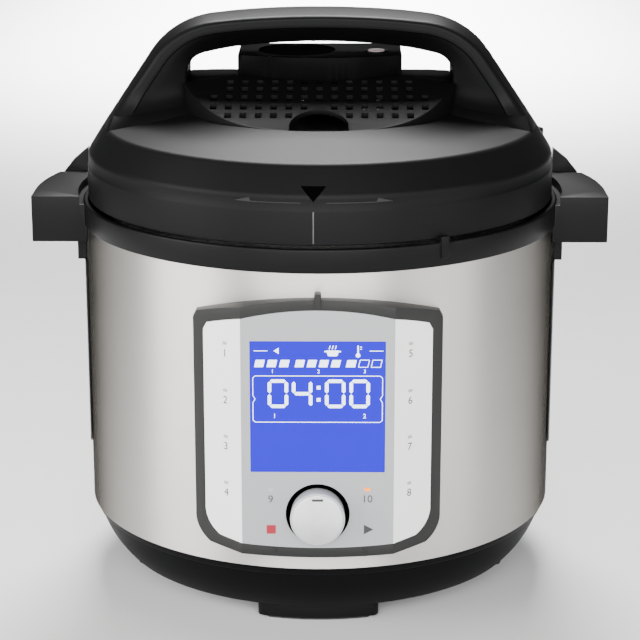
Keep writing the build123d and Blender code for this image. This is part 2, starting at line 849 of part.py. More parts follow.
with BuildPart() as right_grip:
    with BuildSketch(Plane.XY.offset(grip_bottom)):
        grip_plan(0)
    extrude(amount=grip_height)
    with BuildSketch(Plane.XZ.offset(-grip_back - fin_slot_width)):
        section(
            (ring_radius + 1.0, grip_top - 2.0),
            (lid_sweep, grip_top + hump_rise),
            (lid_sweep + 9.0, grip_top + hump_rise - 7.5),
            (lid_sweep + 15.0, grip_top - 2.0),
        )
    extrude(amount=-hump_length + 1.0)
    with BuildSketch(Plane.XY.offset(grip_bottom)):
        grip_plan(grip_wall)
        Circle(ring_radius + 10.0, mode=Mode.SUBTRACT)
    extrude(amount=grip_height - grip_wall, mode=Mode.SUBTRACT)
    with BuildSketch(Plane.XY.offset(grip_top - 9.0)):
        with Locations((lid_sweep + 8.0, grip_back + fin_slot_width / 2)):
            Rectangle(40.0, fin_slot_width)
    extrude(amount=30.0, mode=Mode.SUBTRACT)
    with BuildSketch(Plane.XY.offset(plate_low)):
        with Locations((body_radius, mount_centre)):
            Rectangle(2 * mount_proud, 2 * mount_half_width)
    extrude(amount=grip_bottom - plate_low + 1)
    with BuildSketch(Plane.XY.offset(tail_low)):
        add(tail_plan)
    extrude(amount=plate_low - tail_low + 1)
    with BuildSketch(Plane.YZ.offset(body_radius - tail_corner)):
        for side in (-1, 1):
            section(
                (side * (tail_half_width + 2), tail_low - 2),
                (side * (tail_half_width + 2), tail_low + tail_corner + 2),
                (side * (tail_half_width - tail_corner - 1), tail_low - 2),
            )
    extrude(amount=2 * tail_corner, mode=Mode.SUBTRACT)
    with BuildSketch(Plane.XY.offset(plate_low)):
        Circle(body_radius + seat_gap)
    extrude(amount=wrap_top - plate_low, mode=Mode.SUBTRACT)
    with BuildSketch(Plane.XY.offset(wrap_top)):
        Circle(ring_radius + seat_gap)
    extrude(amount=ring_top - wrap_top, mode=Mode.SUBTRACT)
    with BuildSketch(Plane.XY.offset(ring_top - 1.0)):
        Circle(lid_sweep)
    extrude(amount=40.0, mode=Mode.SUBTRACT)
    for angle in grip_screw_angles:
        with Locations(Location((0, 0, grip_screw_z), (0, 0, angle))):
            Cylinder(
                screw_radius,
                body_radius + 3.0,
                rotation=(0, 90, 0),
                align=(Align.CENTER, Align.CENTER, Align.MIN),
                mode=Mode.SUBTRACT,
            )
save(right_grip, "side_handle_right")

with BuildPart() as left_grip:
    add(mirror(right_grip.part, about=Plane.YZ, mode=Mode.PRIVATE))
save(left_grip, "side_handle_left")

with BuildPart() as handle_screws:
    for side in (0.0, 180.0):
        for turn in grip_screw_angles:
            angle = side + turn if side == 0.0 else side - turn
            with Locations(Location((0, 0, grip_screw_z), (0, 0, angle))):
                with Locations((wrap_inside - 2.2, 0, 0)):
                    Cylinder(
                        screw_head_radius,
                        2.0,
                        rotation=(0, 90, 0),
                        align=(Align.CENTER, Align.CENTER, Align.MIN),
                    )
                    Cylinder(
                        screw_radius - 0.1,
                        5.0,
                        rotation=(0, 90, 0),
                        align=(Align.CENTER, Align.CENTER, Align.MIN),
                    )
save(handle_screws, "handle_screws")

# ================================================================ rear: cup, bracket and inlet
cup_back = reach_back
cup_front = body_radius + seat_gap + bracket_thickness + fit_gap
cup_top = wrap_top - cup_top_margin
cup_half = cup_width / 2
cup_inner_half = cup_half - cup_rim
with BuildPart() as condensation_cup:
    with BuildSketch(Plane.XY.offset(cup_top - cup_height)):
        with Locations((0, (cup_front + cup_back) / 2)):
            RectangleRounded(2 * cup_inner_half, cup_back - cup_front, cup_corner)
    extrude(amount=cup_height)
    with BuildSketch(Plane.XY.offset(cup_top - cup_height + cup_wall)):
        with Locations((0, (cup_front + cup_back) / 2)):
            RectangleRounded(
                2 * (cup_inner_half - cup_wall), cup_back - cup_front - 2 * cup_wall, cup_corner - cup_wall
            )
    extrude(amount=cup_height, mode=Mode.SUBTRACT)
    with BuildSketch(Plane.XY.offset(cup_top - 2.0)):
        with Locations((0, (cup_front + cup_back) / 2)):
            Rectangle(cup_width, cup_back - cup_front - 1.0)
            Rectangle(2 * cup_inner_half - 1.0, cup_back - cup_front, mode=Mode.SUBTRACT)
    extrude(amount=2.0)
save(condensation_cup, "condensation_cup")

with BuildPart() as cup_bracket:
    with BuildSketch(Plane.XY.offset(cup_top - cup_height + 8.0)):
        with Locations((0, body_radius - 10.0)):
            Rectangle(cup_width + 5.0, 2 * (10.0 + seat_gap + bracket_thickness))
        Circle(body_radius + seat_gap, mode=Mode.SUBTRACT)
        with Locations((0, 0)):
            Rectangle(400.0, 2 * (body_radius - 6.0), mode=Mode.SUBTRACT)
    extrude(amount=cup_height + 4.0)
    with BuildSketch(Plane.XZ.offset(-(cup_front - 1.0))):
        for side in (-1, 1):
            with Locations((side * (cup_half - 0.5), cup_top - 2.0 - fit_gap - rail_height / 2)):
                Rectangle(5.0 + 2 * fit_gap, rail_height)
            with Locations((side * (cup_half + 1.5), cup_top - 1.5)):
                Rectangle(2.0, rail_height + 5.0)
    extrude(amount=-(cup_back - cup_front - 2.0))
    with BuildSketch(Plane.XY.offset(channel_floor - 1.0)):
        with Locations((0, body_radius + 3.5)):
            Rectangle(drain_width + 3.0, 7.0)
        Circle(body_radius + seat_gap, mode=Mode.SUBTRACT)
    extrude(amount=6.5)
    with BuildSketch(Plane.XY.offset(channel_floor + 0.5)):
        with Locations((0, body_radius + 1.5)):
            Rectangle(drain_width, 13.0)
    extrude(amount=8.0, mode=Mode.SUBTRACT)
save(cup_bracket, "cup_bracket")

inlet_z = wrap_bottom + inlet_rise
inlet_back = body_radius + inlet_proud
pin_places = [(x, inlet_z + z) for x, z in pin_spots]
with BuildPart() as power_inlet:
    with BuildSketch(Plane.XZ.offset(-inlet_back)):
        with Locations((0, inlet_z)):
            RectangleRounded(inlet_width + 2 * inlet_border, inlet_height + 2 * inlet_border, inlet_border - 1.0)
    extrude(amount=6.0)
    with BuildSketch(Plane.XY.offset(wrap_bottom)):
        Circle(body_radius + seat_gap)
    extrude(amount=inlet_rise + inlet_height, mode=Mode.SUBTRACT)
    with BuildSketch(Plane.XZ.offset(-inlet_back)):
        with Locations((0, inlet_z)):
            Rectangle(inlet_width, inlet_height)
    extrude(amount=inlet_depth + 3.0)
    with BuildSketch(Plane.XZ.offset(-inlet_back)):
        with Locations((0, inlet_z)):
            Rectangle(inlet_width - 6.0, inlet_height - 6.0)
    extrude(amount=inlet_depth, mode=Mode.SUBTRACT)
    with BuildSketch(Plane.XZ.offset(-inlet_back)):
        with Locations(pin_places):
            Rectangle(*pin_size)
    extrude(amount=inlet_depth + 3.0, mode=Mode.SUBTRACT)
save(power_inlet, "power_inlet")

with BuildPart() as inlet_pins:
    with BuildSketch(Plane.XZ.offset(-inlet_back + 3.0)):
        with Locations(pin_places):
            Rectangle(*pin_size)
    extrude(amount=inlet_depth)
save(inlet_pins, "inlet_pins")

# ================================================================ lid: metal plate and seal
tooth_plan = sector(flange_radius + bayonet_clearance - 0.3, plate_inside + 0.5, tooth_angle / 2)
seal_low = brim_top + fit_gap
seal_outside = flange_radius
seal_top = seal_low + seal_height
plate_seat = seal_top + fit_gap
plate_step = brim_top + 1.4
with BuildPart() as lid_plate:
    with BuildSketch(Plane.XZ):
        section(
            (pipe_bore, plate_top - plate_wall),
            (plate_dome_radius, plate_top - plate_wall),
            (seal_outside - seal_width - 4.5, plate_seat),
            (seal_outside + seat_gap, plate_seat),
            (seal_outside + seat_gap, plate_step),
            (plate_inside, plate_step),
            (plate_inside, flange_bottom - tooth_play - tooth_thickness),
            (plate_outside, flange_bottom - tooth_play - tooth_thickness),
            (plate_outside, plate_step + plate_wall),
            (seal_outside + seat_gap + plate_wall, plate_step + plate_wall),
            (seal_outside + seat_gap + plate_wall, plate_seat + plate_wall),
            (seal_outside - seal_width - 3.5, plate_seat + plate_wall),
            (plate_dome_radius + 1.0, plate_top),
            (pipe_bore, plate_top),
        )
    revolve(axis=Axis.Z)
    with BuildSketch(Plane.XY.offset(plate_top - plate_wall)):
        Circle(pipe_bore + 1.0)
    extrude(amount=plate_wall)
    with BuildSketch(Plane.XY.offset(flange_bottom - tooth_play - tooth_thickness)):
        with PolarLocations(0, tooth_count):
            add(tooth_plan)
    extrude(amount=tooth_thickness)
    with BuildSketch(Plane.XY.offset(plate_top - plate_wall)):
        with Locations(button_offset):
            Circle(pipe_radius + 0.1)
        with Locations(float_offset):
            Circle(float_radius + 3.1)
        with PolarLocations(lid_screw_circle, 6, start_angle=30):
            Circle(screw_radius + 0.2)
    extrude(amount=plate_wall, mode=Mode.SUBTRACT)
save(lid_plate, "lid_plate")

with BuildPart() as sealing_ring:
    with BuildSketch(Plane.XZ):
        section(
            (seal_outside - seat_gap, seal_low),
            (seal_outside - seat_gap, seal_top),
            (seal_outside - seal_width, seal_top),
            (seal_outside - seal_width, seal_top - 3.0),
            (seal_outside - 4.0, seal_top - 3.0),
            (seal_outside - 4.0, seal_low + 3.0),
            (seal_outside - seal_width + 1.0, seal_low + 3.0),
            (seal_outside - seal_width + 1.0, seal_low),
        )
    revolve(axis=Axis.Z)
save(sealing_ring, "sealing_ring")

rack_radius = seal_outside - seal_width - 2.0
with BuildPart() as seal_rack:
    with BuildSketch(Plane.XZ):
        with Locations((rack_radius, seal_low + 5.0)):
            Circle(1.3)
    revolve(axis=Axis.Z)
    with BuildSketch(Plane.XY.offset(seal_low + 5.0)):
        with PolarLocations(rack_radius, 6):
            Circle(1.1)
    extrude(amount=plate_seat - seal_low - 5.0)
save(seal_rack, "seal_rack")

# ================================================================ lid: moulded shell and handle
cone_tilt = radians(cone_angle)
shoulder_z = opening_top - shoulder_drop
shoulder_start = (lid_radius - (shoulder_z - cone_top) * cone_slope, shoulder_z)
shoulder_centre = (
    shoulder_start[0] - shoulder_radius * cos(cone_tilt),
    shoulder_start[1] - shoulder_radius * sin(cone_tilt),
)
arch_top = opening_top + bar_thickness
shoulder_miss = shoulder_centre[1] + shoulder_radius - arch_top
crown_extra = -(shoulder_centre[0] ** 2 + shoulder_miss**2) / (2 * shoulder_miss)
crown_radius = crown_extra + shoulder_radius
crown_z = arch_top - crown_radius
meet_angle = atan2(shoulder_centre[1] - crown_z, shoulder_centre[0])


def around(centre, radius, angle):
    """Point on a circle in the half section, at an angle in radians."""
    return (centre[0] + radius * cos(angle), centre[1] + radius * sin(angle))


def dome(inset, low):
    """Solid of revolution of the lid's full outer form, shrunk by inset, above the height low."""
    shoulder = shoulder_radius - inset
    crown = crown_radius - inset
    start = around(shoulder_centre, shoulder, cone_tilt)
    meet = around(shoulder_centre, shoulder, meet_angle)
    foot = (start[0] + (start[1] - low) * cone_slope, low)
    with BuildPart() as form:
        with BuildSketch(Plane.XZ):
            with BuildLine():
                Polyline((0, crown_z + crown), (0, low), foot, start)
                ThreePointArc(start, around(shoulder_centre, shoulder, (cone_tilt + meet_angle) / 2), meet)
                middle = (meet_angle + radians(90)) / 2
                ThreePointArc(meet, around((0, crown_z), crown, middle), (0, crown_z + crown))
            make_face()
        revolve(axis=Axis.Z)
    return form.part


def roof(radius, drop):
    """Height of the shallow cone around the hub at a radius, lowered by drop."""
    return platform_z + (platform_radius - radius) * tan(radians(platform_pitch)) - drop


cone_inner = lid_wall / cos(cone_tilt)
roof_drop = lid_wall / cos(radians(platform_pitch))
inner_edge_z = platform_z - roof_drop
inner_edge_r = lid_radius - (inner_edge_z - cone_top) * cone_slope - cone_inner
floor_low = hub_seat_z - lid_wall
arch_low = platform_z - 1.0
arch_block = dome(0, arch_low)
cap_low = platform_z + 7.0
with BuildPart() as arch_form:
    with BuildSketch(Plane.XY.offset(arch_low)):
        Rectangle(400.0, 2 * arch_half_width)
    extrude(amount=200.0)
    with BuildSketch(Plane.XZ.offset(arch_half_width + 1)) as opening:
        with BuildLine():
            side_top = opening_top - opening_drop
            Polyline(
                (opening_half_width, side_top),
                (opening_half_width, arch_low - 1),
                (-opening_half_width, arch_low - 1),
                (-opening_half_width, side_top),
            )
            ThreePointArc((-opening_half_width, side_top), (0, opening_top), (opening_half_width, side_top))
        make_face()
        fillet(opening.vertices().group_by(Axis.Y)[-1], opening_corner)
    extrude(amount=-2 * (arch_half_width + 1), mode=Mode.SUBTRACT)

with BuildPart() as cap_ring_form:
    add(dome(-1.0, cap_low))
    add(dome(cap_thickness + seat_gap, cap_low), mode=Mode.SUBTRACT)
cap_ring = cap_ring_form.part
with BuildPart() as channel_ring_form:
    add(dome(cap_thickness - 1.0, cap_low + 12.0))
    add(dome(cap_thickness + channel_thickness, cap_low), mode=Mode.SUBTRACT)
    with BuildSketch(Plane.XY.offset(cap_low)):
        Rectangle(400.0, 2 * (arch_half_width - lid_wall))
    extrude(amount=200.0, mode=Mode.INTERSECT)
channel_ring = channel_ring_form.part
with BuildPart() as arch_plain_form:
    add(arch_form.part)
    add(arch_block, mode=Mode.INTERSECT)
    add(cap_ring, mode=Mode.SUBTRACT)
    add(channel_ring, mode=Mode.SUBTRACT)
arch_plain = arch_plain_form.part
shell_outside = [
    (lid_radius, lid_bottom),
    (lid_radius, lid_bottom + skirt_height),
    (lid_radius - skirt_step, lid_bottom + skirt_height + skirt_step),
    (lid_radius, cone_top),
    (platform_radius, platform_z),
    (hub_radius + slide_gap, hub_edge_z),
    (hub_radius + slide_gap, hub_seat_z),
    (0, hub_seat_z),
]
with BuildPart() as shell_filled:
    with BuildSketch(Plane.XZ):
        section(*shell_outside, (0, lid_bottom))
    revolve(axis=Axis.Z)

with BuildPart() as handle_frame:
    add(arch_plain)
    add(shell_filled.part, mode=Mode.SUBTRACT)
save(handle_frame, "handle_frame")

fin_plan = sector(lid_radius - 1.5, lid_radius + fin_reach, degrees(fin_width / 2 / lid_radius))
with BuildPart() as lid_shell:
    with BuildSketch(Plane.XZ):
        section(
            *shell_outside,
            (0, floor_low),
            (hub_radius + 4.0, floor_low),
            (hub_radius + 8.0, roof(hub_radius + 8.0, roof_drop)),
            (inner_edge_r, inner_edge_z),
            (lid_radius - lid_wall, cone_top),
            (lid_radius - lid_wall, lid_bottom),
        )
    revolve(axis=Axis.Z)
    with BuildSketch(Plane.XY.offset(plate_top)):
        with PolarLocations(lid_screw_circle, 6, start_angle=30):
            Circle(5.0)
    extrude(amount=floor_low - plate_top + 0.5)
    with BuildSketch(Plane.XY.offset(plate_top)):
        with PolarLocations(lid_screw_circle, 6, start_angle=30):
            Circle(screw_radius + 0.1)
    extrude(amount=floor_low - plate_top + 1.5, mode=Mode.SUBTRACT)
    with BuildSketch(Plane.XY.offset(floor_low - 1)):
        with Locations(button_offset):
            Circle(pipe_radius + 0.6)
        with Locations(float_offset):
            Circle(float_radius + 3.6)
    extrude(amount=hub_seat_z - floor_low + 2, mode=Mode.SUBTRACT)
    with BuildSketch(Plane.XY.offset(lid_bottom + fin_rise)):
        with PolarLocations(0, 1, start_angle=fin_angle):
            add(fin_plan)
    extrude(amount=fin_height, taper=8)
save(lid_shell, "lid_shell")

with BuildPart() as cap_hollow_form:
    add(dome(2.4, cap_low + 10.0))
    add(dome(cap_thickness + 1.0, cap_low), mode=Mode.SUBTRACT)
    with BuildSketch(Plane.XY.offset(cap_low)):
        Rectangle(400.0, 2 * (arch_half_width - 2.4))
    extrude(amount=200.0, mode=Mode.INTERSECT)
cap_hollow = cap_hollow_form.part
with BuildPart() as handle_cap:
    add(dome(0, cap_low + seat_gap))
    with BuildSketch(Plane.XY.offset(cap_low)):
        Rectangle(400.0, 2 * arch_half_width)
    extrude(amount=200.0, mode=Mode.INTERSECT)
    add(dome(cap_thickness, cap_low - 1), mode=Mode.SUBTRACT)
    add(cap_hollow, mode=Mode.SUBTRACT)
save(handle_cap, "handle_cap")

# ================================================================ lid: hub pieces under the arch
hub_shares = ((1.012, -0.01), (0.706, 0.21), (0.494, 0.56), (0.281, 0.86), (0.0, 1.0))


def hub_form(inset):
    """Crowned form of the hub between the handle's legs, shrunk by inset at its top and sides."""
    front = [(-share * hub_radius, hub_edge_z + rise * hub_crown - inset) for share, rise in hub_shares]
    back = [(-y, z) for y, z in reversed(front[:-1])]
    reach = front[0][0]
    flat_half = block_half_width - 2.0
    with BuildPart() as form:
        with BuildSketch(Plane.XY.offset(hub_seat_z)):
            Circle(hub_radius - inset)
            Rectangle(2 * (hub_inner_x - inset), 200.0, mode=Mode.INTERSECT)
        extrude(amount=60.0)
        with BuildSketch(Plane.YZ.offset(-hub_radius - 2)):
            with BuildLine():
                Spline(*front, *back)
                Polyline(back[-1], (-reach, hub_seat_z - 1), (reach, hub_seat_z - 1), front[0])
            make_face()
        extrude(amount=2 * hub_radius + 4, mode=Mode.INTERSECT)
        with BuildSketch(Plane.XZ.offset(-hub_radius - 2)):
            section(
                (-hub_radius - 1, hub_seat_z - 2),
                (-hub_radius - 1, hub_top_z - hub_side_fall - inset),
                (-flat_half, hub_top_z - inset),
                (flat_half, hub_top_z - inset),
                (hub_radius + 1, hub_top_z - hub_side_fall - inset),
                (hub_radius + 1, hub_seat_z - 2),
            )
        extrude(amount=2 * hub_radius + 4, mode=Mode.INTERSECT)
    return form.part


def block_plan(inset):
    """Plan of the valve block with its bowed front, in a part's sketch to be added."""
    half = block_half_width - inset
    front = -block_front + inset
    with BuildSketch() as plan:
        with BuildLine():
            ThreePointArc((-half, front), (0, front - block_bow), (half, front))
            Polyline((half, front), (half, block_back - inset), (-half, block_back - inset), (-half, front))
        make_face()
    return plan.sketch


hub_outside = hub_form(0)
hub_inside = hub_form(hub_wall)
block_outside = block_plan(0)
block_inside = block_plan(hub_wall)
block_clearance = block_plan(-slide_gap)
button_top = block_top - 1.0
button_low = button_top - button_thickness
row_first = -block_front - block_bow - slot_pitch[1] / 2 + 1.8
with BuildPart() as diffuser_cover:
    add(hub_outside)
    add(hub_inside, mode=Mode.SUBTRACT)
    with BuildSketch(Plane.XY.offset(hub_seat_z)):
        with Locations((0, -hub_radius)):
            Rectangle(200.0, 2 * (hub_radius - block_front - slide_gap))
        add(block_clearance, mode=Mode.SUBTRACT)
    extrude(amount=60.0, mode=Mode.INTERSECT)
    with BuildSketch(Plane.XY.offset(hub_seat_z - 1)):
        with Locations((0, -hub_radius)):
            SlotOverall(2 * notch_reach, notch_width, rotation=90)
    extrude(amount=60.0, mode=Mode.SUBTRACT)
    with BuildSketch(Plane.XY.offset(hub_seat_z + hub_seat_depth - 2.0)):
        for row in range(5):
            columns = slot_columns[row]
            with Locations((0, row_first - row * slot_pitch[1])):
                for column in range(-columns, columns + 1):
                    if row < 3 or row == 3 and abs(column) > 0 or abs(column) > 1:
                        with Locations((column * slot_pitch[0], 0)):
                            Rectangle(*slot_size)
    extrude(amount=60.0, mode=Mode.SUBTRACT)
save(diffuser_cover, "diffuser_cover")

with BuildPart() as valve_housing:
    add(hub_outside)
    with BuildSketch(Plane.XY.offset(hub_seat_z)):
        with Locations((0, hub_radius)):
            Rectangle(200.0, 2 * (hub_radius + block_front))
        add(block_outside)
    extrude(amount=60.0, mode=Mode.INTERSECT)
    with BuildSketch(Plane.XY.offset(hub_edge_z)):
        add(block_outside)
    extrude(amount=block_top - hub_edge_z)
    add(hub_inside, mode=Mode.SUBTRACT)
    with BuildSketch(Plane.XY.offset(hub_seat_z)):
        add(block_inside)
    extrude(amount=block_top - hub_wall - hub_seat_z, mode=Mode.SUBTRACT)
    with BuildSketch(Plane.XY.offset(block_top - hub_wall - 5.0)):
        with Locations(button_offset):
            Circle(button_radius + fit_gap + 1.6)
            Circle(button_radius + fit_gap, mode=Mode.SUBTRACT)
        with Locations(float_offset):
            Circle(float_radius + fit_gap + 1.6)
            Circle(float_radius + fit_gap, mode=Mode.SUBTRACT)
        add(block_outside, mode=Mode.INTERSECT)
    extrude(amount=5.5)
    with BuildSketch(Plane.XY.offset(button_low - button_travel - 1.0)):
        with Locations(button_offset):
            Circle(button_radius + fit_gap)
        with Locations(float_offset):
            Circle(float_radius + fit_gap)
    extrude(amount=30.0, mode=Mode.SUBTRACT)
save(valve_housing, "valve_housing")

# ================================================================ lid: steam release and float valve
with BuildPart() as release_button:
    with BuildSketch(Plane.XY.offset(button_low)):
        with Locations(button_offset):
            Circle(button_radius)
    extrude(amount=button_thickness)
    with Locations((*button_offset, button_top + 70.0)):
        Sphere(71.6, mode=Mode.SUBTRACT)
    fillet(release_button.edges().group_by(Axis.Z)[-1], 0.8)
save(release_button, "release_button")

pipe_low = plate_top - pipe_reach
pipe_top = hub_seat_z + 6.0
with BuildPart() as steam_pipe:
    with BuildSketch(Plane.XY.offset(pipe_low)):
        with Locations(button_offset):
            Circle(pipe_radius)
            Circle(pipe_bore, mode=Mode.SUBTRACT)
    extrude(amount=pipe_top - pipe_low)
    with BuildSketch(Plane.XY.offset(plate_top)):
        with Locations(button_offset):
            Circle(pipe_radius + 5.0)
            Circle(pipe_radius - 1.0, mode=Mode.SUBTRACT)
    extrude(amount=floor_low - plate_top - seat_gap)
save(steam_pipe, "steam_pipe")

shield_radius = pipe_radius + shield_gap
shield_top = plate_top - plate_wall
with BuildPart() as pipe_shield:
    with BuildSketch(Plane.XY.offset(shield_top - shield_height)):
        with Locations(button_offset):
            Circle(shield_radius)
    extrude(amount=shield_height)
    with BuildSketch(Plane.XY.offset(shield_top - shield_height + shield_wall)):
        with Locations(button_offset):
            Circle(shield_radius - shield_wall)
    extrude(amount=shield_height, mode=Mode.SUBTRACT)
    for drop in shield_holes:
        with BuildSketch(Plane.XY.offset(shield_top - drop)):
            with Locations(button_offset):
                with PolarLocations(shield_radius, 12):
                    Rectangle(4.0, 3.2)
        extrude(amount=2.2, mode=Mode.SUBTRACT)
save(pipe_shield, "pipe_shield")

weight_low = pipe_top + fit_gap
weight_top = button_low - button_travel - button_travel - 1.5
with BuildPart() as valve_weight:
    with BuildSketch(Plane.XY.offset(weight_low)):
        with Locations(button_offset):
            Circle(pipe_radius + 2.5)
    extrude(amount=weight_top - weight_low)
    with BuildSketch(Plane.XY.offset(weight_low)):
        with Locations(button_offset):
            Circle(pipe_bore + 1.0)
    extrude(amount=3.0, mode=Mode.SUBTRACT)
save(valve_weight, "valve_weight")

spring_radius = pipe_radius + 7.0
button_spring_low = hub_seat_z + 1.0
with BuildPart() as button_spring:
    with BuildLine():
        turns = Helix(
            pitch=(button_low - button_spring_low - 1.0) / 4,
            height=button_low - button_spring_low - 1.0,
            radius=spring_radius,
            center=(*button_offset, button_spring_low),
        )
    with BuildSketch(Plane(origin=turns @ 0, z_dir=turns % 0)):
        Circle(0.8)
    sweep(is_frenet=True)
save(button_spring, "button_spring")

float_top = block_top + 0.8
float_low = plate_top - plate_wall - 5.0
with BuildPart() as float_pin:
    with BuildSketch(Plane.XY.offset(float_low)):
        with Locations(float_offset):
            Circle(float_radius - 2.0)
    extrude(amount=float_top - float_low)
    with BuildSketch(Plane.XY.offset(float_top - 6.0)):
        with Locations(float_offset):
            Circle(float_radius)
    extrude(amount=6.0)
    fillet(float_pin.edges().group_by(Axis.Z)[-1], 0.8)
save(float_pin, "float_pin")

with BuildPart() as float_seal:
    with BuildSketch(Plane.XY.offset(float_low - 4.0)):
        with Locations(float_offset):
            Circle(float_radius)
    extrude(amount=4.0)
save(float_seal, "float_seal")

with BuildPart() as float_guide:
    with BuildSketch(Plane.XY.offset(plate_top - plate_wall)):
        with Locations(float_offset):
            Circle(float_radius + 3.0)
            Circle(float_radius - 2.0 + fit_gap, mode=Mode.SUBTRACT)
    extrude(amount=hub_seat_z + 3.0 - plate_top + plate_wall)
save(float_guide, "float_guide")

with BuildPart() as lid_screws:
    with BuildSketch(Plane.XY.offset(plate_top - plate_wall - screw_head)):
        with PolarLocations(lid_screw_circle, 6, start_angle=30):
            Circle(screw_head_radius)
    extrude(amount=screw_head)
    with BuildSketch(Plane.XY.offset(plate_top - plate_wall)):
        with PolarLocations(lid_screw_circle, 6, start_angle=30):
            Circle(screw_radius)
    extrude(amount=floor_low - plate_top + plate_wall)
save(lid_screws, "lid_screws")
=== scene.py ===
"""Looks of an electric pressure cooker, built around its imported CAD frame.

The bench works in millimetres, in the frame's axes: +Z is up and the control panel faces -Y. Each
finished piece is brought to metres, keeps its place in its mesh, and rides on a body of the frame.
"""

import logging
from collections.abc import Callable
from dataclasses import dataclass, field
from enum import Enum
from math import atan2, cos, degrees, pi, radians, sin, sqrt, tan

import bpy
from mathutils import Matrix, Vector


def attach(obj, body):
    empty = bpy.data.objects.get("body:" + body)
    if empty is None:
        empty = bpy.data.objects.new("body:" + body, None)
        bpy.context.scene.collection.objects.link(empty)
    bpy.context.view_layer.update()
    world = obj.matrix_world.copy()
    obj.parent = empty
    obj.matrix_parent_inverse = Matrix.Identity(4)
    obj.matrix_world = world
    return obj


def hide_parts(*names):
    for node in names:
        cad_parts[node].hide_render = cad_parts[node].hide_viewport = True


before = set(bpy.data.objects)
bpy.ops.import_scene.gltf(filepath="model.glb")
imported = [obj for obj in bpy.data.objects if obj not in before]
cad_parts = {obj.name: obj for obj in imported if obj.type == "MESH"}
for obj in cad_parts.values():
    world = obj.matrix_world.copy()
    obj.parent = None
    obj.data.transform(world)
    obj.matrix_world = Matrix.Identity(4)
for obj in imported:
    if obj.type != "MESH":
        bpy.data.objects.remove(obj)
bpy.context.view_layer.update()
MM = 0.001
LOG = logging.getLogger("cooker")

Point = tuple[float, float]
Colour = tuple[float, float, float]


# ------------------------------------------------------------------ outlines
def arc(centre: Point, radius: float, start: float, end: float, count: int) -> list[Point]:
    """Points along a circular arc.

    Args:
        centre: Middle of the circle.
        radius: Its radius.
        start: Angle of the first point, in degrees.
        end: Angle of the last point, in degrees.
        count: Number of points, both ends included.

    Returns:
        The points in order.
    """
    turns = [radians(start + (end - start) * step / (count - 1)) for step in range(count)]
    return [(centre[0] + radius * cos(turn), centre[1] + radius * sin(turn)) for turn in turns]


def arc_through(first: Point, middle: Point, last: Point, count: int) -> list[Point]:
    """Points along the arc through three points.

    Args:
        first: Start of the arc.
        middle: Any point on the way.
        last: End of the arc.
        count: Number of points, both ends included.

    Returns:
        The points in order.
    """
    (ax, ay), (bx, by), (cx, cy) = first, middle, last
    scale = 2 * (ax * (by - cy) + bx * (cy - ay) + cx * (ay - by))
    ux = ((ax**2 + ay**2) * (by - cy) + (bx**2 + by**2) * (cy - ay) + (cx**2 + cy**2) * (ay - by)) / scale
    uy = ((ax**2 + ay**2) * (cx - bx) + (bx**2 + by**2) * (ax - cx) + (cx**2 + cy**2) * (bx - ax)) / scale
    start, via, end = (degrees(atan2(y - uy, x - ux)) for x, y in (first, middle, last))
    if (via - start) % 360 > (end - start) % 360:
        sweep = (end - start) % 360 - 360
    else:
        sweep = (end - start) % 360
    return arc((ux, uy), sqrt((ax - ux) ** 2 + (ay - uy) ** 2), start, start + sweep, count)


def rounded(corners: list[tuple[float, float, float]], count: int = 5, closed: bool = True) -> list[Point]:
    """Outline whose corners are rounded.

    Args:
        corners: Corner points, each with the radius of its rounding as the third number.
        count: Points used for each rounded corner.
        closed: Whether the outline joins its last corner to its first.

    Returns:
        The outline's points in order.
    """
    points: list[Point] = []
    total = len(corners)
    for index, (x, y, radius) in enumerate(corners):
        if radius <= 0 or (not closed and index in (0, total - 1)):
            points.append((x, y))
            continue
        here = Vector((x, y))
        back = (Vector(corners[index - 1][:2]) - here).normalized()
        ahead = (Vector(corners[(index + 1) % total][:2]) - here).normalized()
        half = back.angle(ahead) / 2
        reach = radius / tan(half)
        centre = here + (back + ahead).normalized() * (radius / sin(half))
        start = here + back * reach - centre
        sweep = start.angle_signed(here + ahead * reach - centre)
        for step in range(count):
            turned = Matrix.Rotation(-sweep * step / (count - 1), 2) @ start
            points.append((centre.x + turned.x, centre.y + turned.y))
    return points


class Axis(Enum):
    """Direction that a turned or extruded piece is made along."""

    UP = "z"
    FRONT = "y"
    SIDE = "x"

    def point(self, across: float, along: float, off: float = 0.0) -> Vector:
        """Point of a section plane.

        Args:
            across: Distance across the section.
            along: Distance along its second direction.
            off: Distance out of the section's plane.

        Returns:
            The point in the frame's axes.
        """
        if self is Axis.UP:
            return Vector((across, along, off))
        if self is Axis.FRONT:
            return Vector((across, off, along))
        return Vector((off, across, along))

    @property
    def direction(self) -> Vector:
        """Unit vector along the axis."""
        return Vector((self is Axis.SIDE, self is Axis.FRONT, self is Axis.UP))


